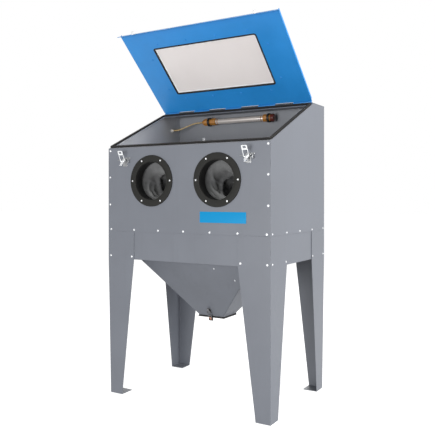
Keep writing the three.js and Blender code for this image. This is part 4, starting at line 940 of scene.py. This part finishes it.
# ---------- lid ----------
def lid_fittings():
    rows = (WINDOW_NEAR - 35, WINDOW_FAR + 25)
    heads = [(x, -v) for x in (-257, -85, 85, 257) for v in rows]
    heads += [(s * 333, -v) for s in (1, -1) for v in (WINDOW_NEAR + 34, WINDOW_FAR - 62)]
    below = [(x, y, LID_LOW) for x, y in heads]
    nuts = [placed(f, LID) for f in screws(below, turn("x", math.pi), PAN)]
    make("window_nuts", nuts, lid_blue, body="lid")
    above = [(x, y, LID_LOW + SHEET + GAP + SHEET) for x, y in heads]
    bolts = [placed(f, LID) for f in screws(above, FACING["up"], SMALL_SCREW)]
    make("window_bolts", bolts, screw_zinc, body="lid")

    # The rubber profile round the window: a lip over the sheet's edge and the strip under the pane.
    path = rounded_outline(WINDOW_HALF, WINDOW_LENGTH / 2, 8, 6)
    path = np.column_stack([path[:, 0], path[:, 1] - WINDOW_MIDDLE, np.zeros(len(path))])
    low, under, top = LID_LOW - 1.5, LID_LOW - 0.1, GLASS_LOW - 0.4
    lip = [[4.5, low], [4.5, under], [-0.6, under], [-0.6, top], [-3.2, top], [-3.2, low]]
    strip = [[1.5, top - 2.8], [14.8, top - 2.8], [14.8, top], [1.5, top]]
    forms = [placed(swept(softened(p, 0.4, 3), path, (0, 0, 1), closed=True), LID) for p in (lip, strip)]
    make("window_rubber", forms, rubber_black, "window_seal", body="lid")

    # The two hinge leaves with their knuckles.
    half = LID_HALF - SHEET - GAP
    count = 9
    pitch = 2 * half / count
    bore = 2.9
    for name, first, body, frame_now, leaf in (
        ("fixed_hinge_leaf", 1, "cabinet", shift(0, AXIS_Y, AXIS_Z), (1.0, 34.0, GAP - 3.3)),
        ("lid_hinge_leaf", 0, "lid", LID, (-34.0, 0.0, LID_LOW + SHEET + GAP)),
    ):
        forms = []
        for i in range(count):
            x0 = -half + i * pitch
            if i % 2 == first:
                ends = (x0 + GAP, x0 + pitch - GAP)
                knuckle = [
                    [bore, ends[0]], [KNUCKLE_RADIUS, ends[0]], [KNUCKLE_RADIUS, ends[1]], [bore, ends[1]]
                ]
                forms.append(turned_form(softened(knuckle, 0.4, 3), "x", (0, 0, 0), 32, closed=True))
                lo, hi, floor = leaf
                near = (lo + 4.2, hi) if lo > 0 else (lo, hi - 4.2)
                tab = plate(pitch / 2 - GAP, (near[1] - near[0] + 3) / 2, 0.4, 1.5, 0.3, 3)
                middle = (near[0] + near[1]) / 2 + (-1.5 if lo > 0 else 1.5)
                forms.append(placed(tab, shift(x0 + pitch / 2, middle, floor)))
        lo, hi, floor = leaf
        outer = (lo + 6, hi) if lo > 0 else (lo, hi - 6)
        band = plate(half, (outer[1] - outer[0]) / 2, 0.6, 1.5, 0.3, 3)
        forms.append(placed(band, shift(0, (outer[0] + outer[1]) / 2, floor)))
        place_y = (outer[0] + outer[1]) / 2 + (3 if lo > 0 else -3)
        places = [(-half + pitch * (k + 0.5), place_y, floor + 1.4) for k in range(count)]
        forms += screws(places, FACING["up"], PAN * 0.8)
        forms = [placed(f, frame_now) for f in forms]
        fixed = body == "cabinet"
        node_name = "hinge_leaf_fixed" if fixed else "hinge_leaf_lid"
        # The fixed leaf takes the near-black painted-shade finish, the lid leaf the blue of the frame.
        make(name, forms, hinge_painted_shade if fixed else frame_blue, node_name, body=body)


# ---------- latches ----------
def latch_forms(staple):
    """Base, lever and bail, each in its own frame: the lever's pivot line for the first two, the bail's
    own pin for the third."""
    base = [placed(plate(14, 21.5, 4, 2, 0.5), shift(0, 0, -9.5), FACING["front"])]
    ear = softened([[0, -7], [0, 7], [-8, 5.5], [-12.2, 3], [-12.2, -3], [-8, -5.5]], 1.8, 4)
    base += [prism(ear, s * 11.2 - 1.2, s * 11.2 + 1.2) for s in (-1, 1)]
    base.append(rod(2.0, -40 if staple else -13.4, 13.4, "x", (0, -9, 0), 0.6, 24))
    base += [rod(3.1, s * 13.2 - 0.8, s * 13.2 + 0.8, "x", (0, -9, 0), 0.6, 24) for s in (-1, 1)]
    base += screws([(s * 7.5, -1.9, z) for s in (-1, 1) for z in (-26, 9)], FACING["front"], PAN * 0.55)
    if staple:
        base.append(placed(plate(10.5, 4.2, 1.2, 2, 0.5), shift(21.9, 0, 8), FACING["front"]))
        route = [[26.4, -0.5, 7], [26.4, -10.5, 7], [26.4, -10.5, -12], [26.4, -0.3, -12]]
        route = softened(route, 3.6, 6, closed=False)
        base.append(swept(rounded_outline(1.4, 2.0, 0.7, 3), route, (1, 0, 0)))
    side = [(1.0, -3.4), (-3.4, -9), (-4.6, -16), (-4.9, -24), (-5.8, -32), (-9.2, -39.4)]
    tongue = curve_through([[0, y, z] for y, z in side], 8)
    t = np.linspace(0, 1, len(tongue))
    tip = np.sqrt(np.clip(1 - np.clip((t - 0.9) / 0.1, 0, 1) ** 2.4, 0.12, 1))
    wide = (9 - 0.8 * smooth_between(t, 0.3, 0.7)) * tip
    section = rounded_outline(1.0, 1.0, 0.28, 4)
    lever = [swept(section, tongue, (1, 0, 0), scale=np.stack([np.full(len(tongue), 1.25), wide], 1))]
    lever.append(rod(4.2, -9, 9, "x", (0, 0, 0), 0.8, 32))
    lever.append(rod(4.0, -9, 9, "x", (0, -5, -11), 0.8, 32))
    return base, lever, bail_forms()


def bail_forms():
    """A wire from the middle of the pin out and up each leg, and the flat head: a rounded frame round its
    slot, as rings on both faces with their edges broken."""
    foot = softened([[0, 0, 0], [12.7, 0, 0], [12.7, 0, 36]], 3.2, 7, closed=False)
    half = 1.75
    legs = [wire(foot * [s, 1, 1], half, (0, 1, 0), count=16) for s in (-1, 1)]
    outer = rounded_outline(14.5, 11.1, 4.5, 7)
    inner = rounded_outline(7.5, 5.0, 2.4, 7)
    rim = 0.5
    outer_rim, inner_rim = outer - unit(outer) * rim, inner + unit(inner) * rim
    rings = [(outer_rim, -half), (outer, rim - half), (outer, half - rim), (outer_rim, half)]
    rings += [(inner_rim, half), (inner, half - rim), (inner, rim - half), (inner_rim, -half)]
    lifts = [43.1] * 4 + [44.8] * 4
    loops = [
        np.column_stack([ring[:, 0], np.full(len(ring), y), ring[:, 1] + lift])
        for (ring, y), lift in zip(rings, lifts)
    ]
    return [*legs, grid_form(np.stack(loops), wrap_rows=True, wrap_columns=True)]


def keeper_form():
    """A bent strip: down the lip, out under the bail's bar and up again."""
    path = softened([[0, -1, 18], [0, -1, -4.2], [0, -15, -4.2], [0, -15, 5]], 3.2, 7, closed=False)
    return swept(rounded_outline(1.0, 6.0, 0.4, 4), path, (1, 0, 0))


def latches():
    base, lever, bail = latch_forms(True)
    for name, s in (("left", -1), ("right", 1)):
        stand = shift(s * LATCH_X, FRONT - GAP, LATCH_Z)
        arm = stand @ shift(0, -9, 0) @ turn("x", math.radians(-35))
        loop = arm @ shift(0, -5, -11) @ turn("x", math.radians(60))
        parts = (
            ("base", base, stand, "cabinet"),
            ("lever", lever, arm, f"{name}_lever"),
            ("bail", bail, loop, f"{name}_bail"),
        )
        for part, forms, where, body in parts:
            made = [placed(f, where) for f in forms]
            # The base takes the darker painted-shade copy of the plating, lever and bail the bright plate.
            plating = latch_base_painted_shade if part == "base" else bright_plate
            node_name = f"latch_{name}_{part}"
            make(f"{name}_latch_{part}", made, plating, node_name, body=body)
        from_axis = shift(s * LATCH_X, FRONT - 4 - GAP - AXIS_Y, LATCH_Z + KEEPER_RISE - AXIS_Z)
        lip = LID @ turn("x", -SLOPE) @ from_axis
        hook = placed(keeper_form(), lip)
        make(f"{name}_lid_hook", [hook], bright_plate, f"lid_keeper_{name}", body="lid")
    base, lever, bail = latch_forms(False)
    mouth = shift(0, -MOUTH_Y - GAP / math.cos(HOPPER_LEAN), MOUTH_Z) @ turn("x", HOPPER_LEAN)
    stand = mouth @ shift(0, 0, KEEPER_RISE * TRAP_LATCH - 5) @ turn("y", math.pi) @ sized(TRAP_LATCH)
    arm = stand @ shift(0, -9, 0)
    loop = arm @ shift(0, -5, -11)
    for part, forms, where, body in (
        ("base", base, stand, "cabinet"),
        ("lever", lever, arm, "dump_lever"),
        ("bail", bail, loop, "dump_bail"),
    ):
        made = [placed(f, where) for f in forms]
        make(f"trap_latch_{part}", made, dull_zinc, f"dump_latch_{part}", body=body)
    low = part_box("dump_keeper")[0].z / MM + 18 * TRAP_LATCH
    where = shift(0, -MOUTH_Y - SHEET - GAP, low) @ turn("y", math.pi) @ sized(TRAP_LATCH)
    catch = placed(keeper_form(), where)
    make("trap_catch", [catch], copper_plate, "dump_keeper", body="dump_door")


# ---------- fittings on the back wall ----------
def rear_fittings():
    inside, outside = REAR - SHEET - GAP, REAR + SHEET + GAP
    x, z = 225.0, 1180.0
    bore, radius, bead, flange = 47.5, 50, 51.6, 64
    outline = [
        [bore, inside - 12], [radius, inside - 12], [radius, REAR + GAP], [flange, REAR + GAP],
        [flange, outside], [radius, outside], [radius, REAR + 33], [bead, REAR + 35], [bead, REAR + 37],
        [radius, REAR + 39], [radius, REAR + 42], [bore, REAR + 42],
    ]
    spigot = turned_form(softened(outline, 0.5, 3), "y", (x, 0, z), 96, closed=True)
    make("dust_spigot", [spigot], body_grey, "dust_outlet")
    angles = np.radians(45 + np.arange(4) * 90)
    bolts = (radius + flange) / 2
    places = [(x + bolts * math.cos(a), REAR + 2.2, z + bolts * math.sin(a)) for a in angles]
    make("spigot_screws", screws(places, FACING["back"], PAN), screw_zinc)
    centre = (-330.0, 0, 960.0)
    thread = np.arange(REAR + 12, REAR + 30, 1.5)
    ribs = np.stack([8 - 0.7 * (np.arange(len(thread)) % 2), thread], 1)
    mouth = [[8, REAR + 31], [7.2, REAR + 34], [4.5, REAR + 34], [4.5, REAR + 20], [0, REAR + 20]]
    stub = np.vstack([[[0, REAR + 9], [8, REAR + 9]], ribs, mouth])
    forms = [
        rod(13, REAR + GAP, REAR + 11, "y", centre, 1.0, 48, flats=6),
        turned_form(stub, "y", centre, 48),
        rod(13, inside - 8, inside, "y", centre, 1.0, 48, flats=6),
        rod(8, inside - 16, REAR + 4, "y", centre, 0.8, 40),
    ]
    make("air_nipple", forms, inlet_brass, "air_inlet")


# ---------- blast gun ----------
def blast_gun():
    hook_x, hook_z = 169 - SIDE, RAIL_TOP - 137
    wall = REAR - SHEET - GAP
    gun_y, gun_z = wall - 32, hook_z - 40
    seat = 17.0
    points = [
        (hook_x, wall - 3, hook_z),
        (hook_x, wall - 5, hook_z - 16),
        (hook_x, gun_y + seat + 4, gun_z),
        (hook_x, gun_y + seat * 0.8, gun_z - seat * 0.8),
        (hook_x, gun_y, gun_z - seat - 2),
        (hook_x, gun_y - seat * 0.8, gun_z - seat * 0.8),
        (hook_x, gun_y - seat - 4, gun_z + 8),
    ]
    bend = wire(curve_through(points, 8), 2, (1, 0, 0), count=16)
    back = placed(plate(9, 12, 2, 3, 0.6), shift(hook_x, wall, hook_z), FACING["front"])
    heads = screws([(hook_x, wall - 2.9, hook_z + 6)], FACING["front"], SMALL_SCREW)
    make("gun_hanger", [bend, back, *heads], zinc, "gun_hook")
    start = hook_x - 76
    grip_x = start + 22
    axis = (0, gun_y, gun_z)
    steps = [
        [0, 0], [11, 0], [14, 4], [14, 54], [12.6, 57], [12.6, 63],
        [14, 66], [14, 100], [11.5, 104], [11.5, 118], [0, 118],
    ]
    barrel = softened(np.array(steps) + [0, start], 1.0, 3, closed=False)
    t = np.linspace(0, 1, 26)
    a = np.linspace(0, 2 * math.pi, 40, endpoint=False)
    tt, aa = np.meshgrid(t, a, indexing="ij")
    power = 0.62
    cx = np.sign(np.cos(aa)) * np.abs(np.cos(aa)) ** power
    cy = np.sign(np.sin(aa)) * np.abs(np.sin(aa)) ** power
    finger = 1.1 * np.sin(tt * 22) * smooth_between(tt, 0.2, 0.35) * np.clip(cx, 0, 1)
    half = 14.8 - 0.8 * tt
    close = np.sqrt(np.clip(1 - np.clip((tt - 0.95) / 0.05, 0, 1) ** 2, 0.3, 1))
    across = grip_x - 6 * tt + (half * cx + finger) * close
    grip = np.stack([across, gun_y + 9.8 * cy * close, gun_z - 4 - 90 * tt], -1)
    tilt = shift(start + 98, gun_y, gun_z) @ turn("y", -0.4)
    forms = [
        turned_form(barrel, "x", axis, 56),
        grid_form(grip, wrap_columns=True, caps=True),
        rod(6, gun_z - 118, gun_z - 90, "z", (grip_x - 6, gun_y, 0), 0.8, 32),
        rod(7.6, gun_z - 101, gun_z - 93, "z", (grip_x - 6, gun_y, 0), 0.6, 36, flats=6),
        placed(rod(9, -44, 0, "z", (0, 0, 0), 1.0, 36), tilt),
        placed(rod(9.6, -42, -38, "z", (0, 0, 0), 0.8, 36), tilt),
        placed(rod(9.6, -36, -32, "z", (0, 0, 0), 0.8, 36), tilt),
    ]
    pivot = (grip_x + 24, gun_y, gun_z - 20)
    for s in (-1, 1):
        where = shift(pivot[0], pivot[1] + s * 7 + 1.5, pivot[2] + 3.5)
        forms.append(placed(plate(4, 8.5, 3.2, 3, 0.5), where, FACING["front"]))
    forms.append(rod(2, -9.4, 9.4, "y", pivot, 0.6, 20))
    make("gun_casting", forms, gun_alloy, "gun_body")
    tip = softened([[3.5, 0], [9, 0], [9, 20], [6.5, 36], [3.5, 36]], 0.6, 3)
    make(
        "gun_tip", [turned_form(tip, "x", (start + 118 + GAP, gun_y, gun_z), 48, closed=True)], ceramic,
        "gun_nozzle",
    )
    spine = curve_through([[2, 0, 3.0], [2.6, 0, -10], [1.5, 0, -24], [5, 0, -42], [9.8, 0, -59]], 8)
    t = np.linspace(0, 1, len(spine))
    scale = np.stack([3.0 - 0.9 * t, np.full(len(t), 4.5)], 1)
    blade = swept(rounded_outline(1.0, 1.0, 0.35, 4), spine, (0, 1, 0), scale=scale)
    hub = softened([[2.35, -4.5], [4.2, -4.5], [4.2, 4.5], [2.35, 4.5]], 0.4, 3)
    parts = [placed(blade, shift(*pivot)), turned_form(hub, "y", pivot, 32, closed=True)]
    make("gun_lever", parts, moulded_black, "gun_trigger", body="trigger")


# ---------- plate on the front ----------
def front_plate():
    low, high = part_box("name_plate")
    x, z = (low.x + high.x) / 2 / MM, (low.z + high.z) / 2 / MM
    w, h = (high.x - low.x) / 2 / MM, (high.z - low.z) / 2 / MM
    where = shift(x, FRONT - GAP, z) @ FACING["front"]
    form = placed(plate(w, h, 2.0, 1.0, 0.35), where)
    make("blank_plate", [form], plate_blue, "name_plate")


port_pieces()
glove_pieces()
screw_rows()
gasket()
lamp()
lid_fittings()
latches()
rear_fittings()
blast_gun()
front_plate()


# ---------- floor and light ----------
def studio():
    scene = bpy.context.scene
    scene.view_settings.view_transform = "Standard"
    mesh = bpy.data.meshes.new("floor")
    corners = [(x, y, -0.0005) for x, y in ((-30, -30), (30, -30), (30, 30), (-30, 30))]
    mesh.from_pydata(corners, [], [(0, 1, 2, 3)])
    floor = bpy.data.objects.new("floor", mesh)
    material, tree, shader = blank("pale_floor")
    shader.inputs["Base Color"].default_value = (0.5, 0.5, 0.5, 1)
    shader.inputs["Roughness"].default_value = 0.95
    shader.inputs["Specular IOR Level"].default_value = 0.0
    shader.inputs["Emission Color"].default_value = (1, 1, 1, 1)
    shader.inputs["Emission Strength"].default_value = 0.86
    mesh.materials.append(material)
    scene.collection.objects.link(floor)
    floor.visible_diffuse = False

    # The surround is white where it is seen or mirrored and dimmer as a light.
    world = bpy.data.worlds.new("world")
    world.use_nodes = True
    tree = world.node_tree
    path = node(tree, "ShaderNodeLightPath")
    seen = calc(tree, "MAXIMUM", path.outputs["Is Camera Ray"], path.outputs["Is Glossy Ray"])
    background = tree.nodes["Background"]
    background.inputs["Color"].default_value = (1, 1, 1, 1)
    tree.links.new(spread(tree, seen, 0.0, 1.0, 0.36, 1.0), background.inputs["Strength"])
    scene.world = world
    for name, place, aim, size, power in (
        ("right_key", (4.4, 0.3, 2.2), (0, 0, 0.9), 2.4, 215),
        ("front_box", (0.2, -3.8, 0.75), (0, 0, 1.1), 1.5, 98),
        ("back_box", (-1.6, 3.6, 2.4), (0, 0, 1.0), 2.4, 60),
    ):
        light = bpy.data.lights.new(name, "AREA")
        light.size = size
        light.energy = power
        lamp_object = bpy.data.objects.new(name, light)
        direction = np.subtract(aim, place)
        lamp_object.location = place
        lamp_object.rotation_euler = (
            math.acos(-direction[2] / np.linalg.norm(direction)),
            0,
            math.atan2(-direction[0], direction[1]),
        )
        scene.collection.objects.link(lamp_object)


studio()
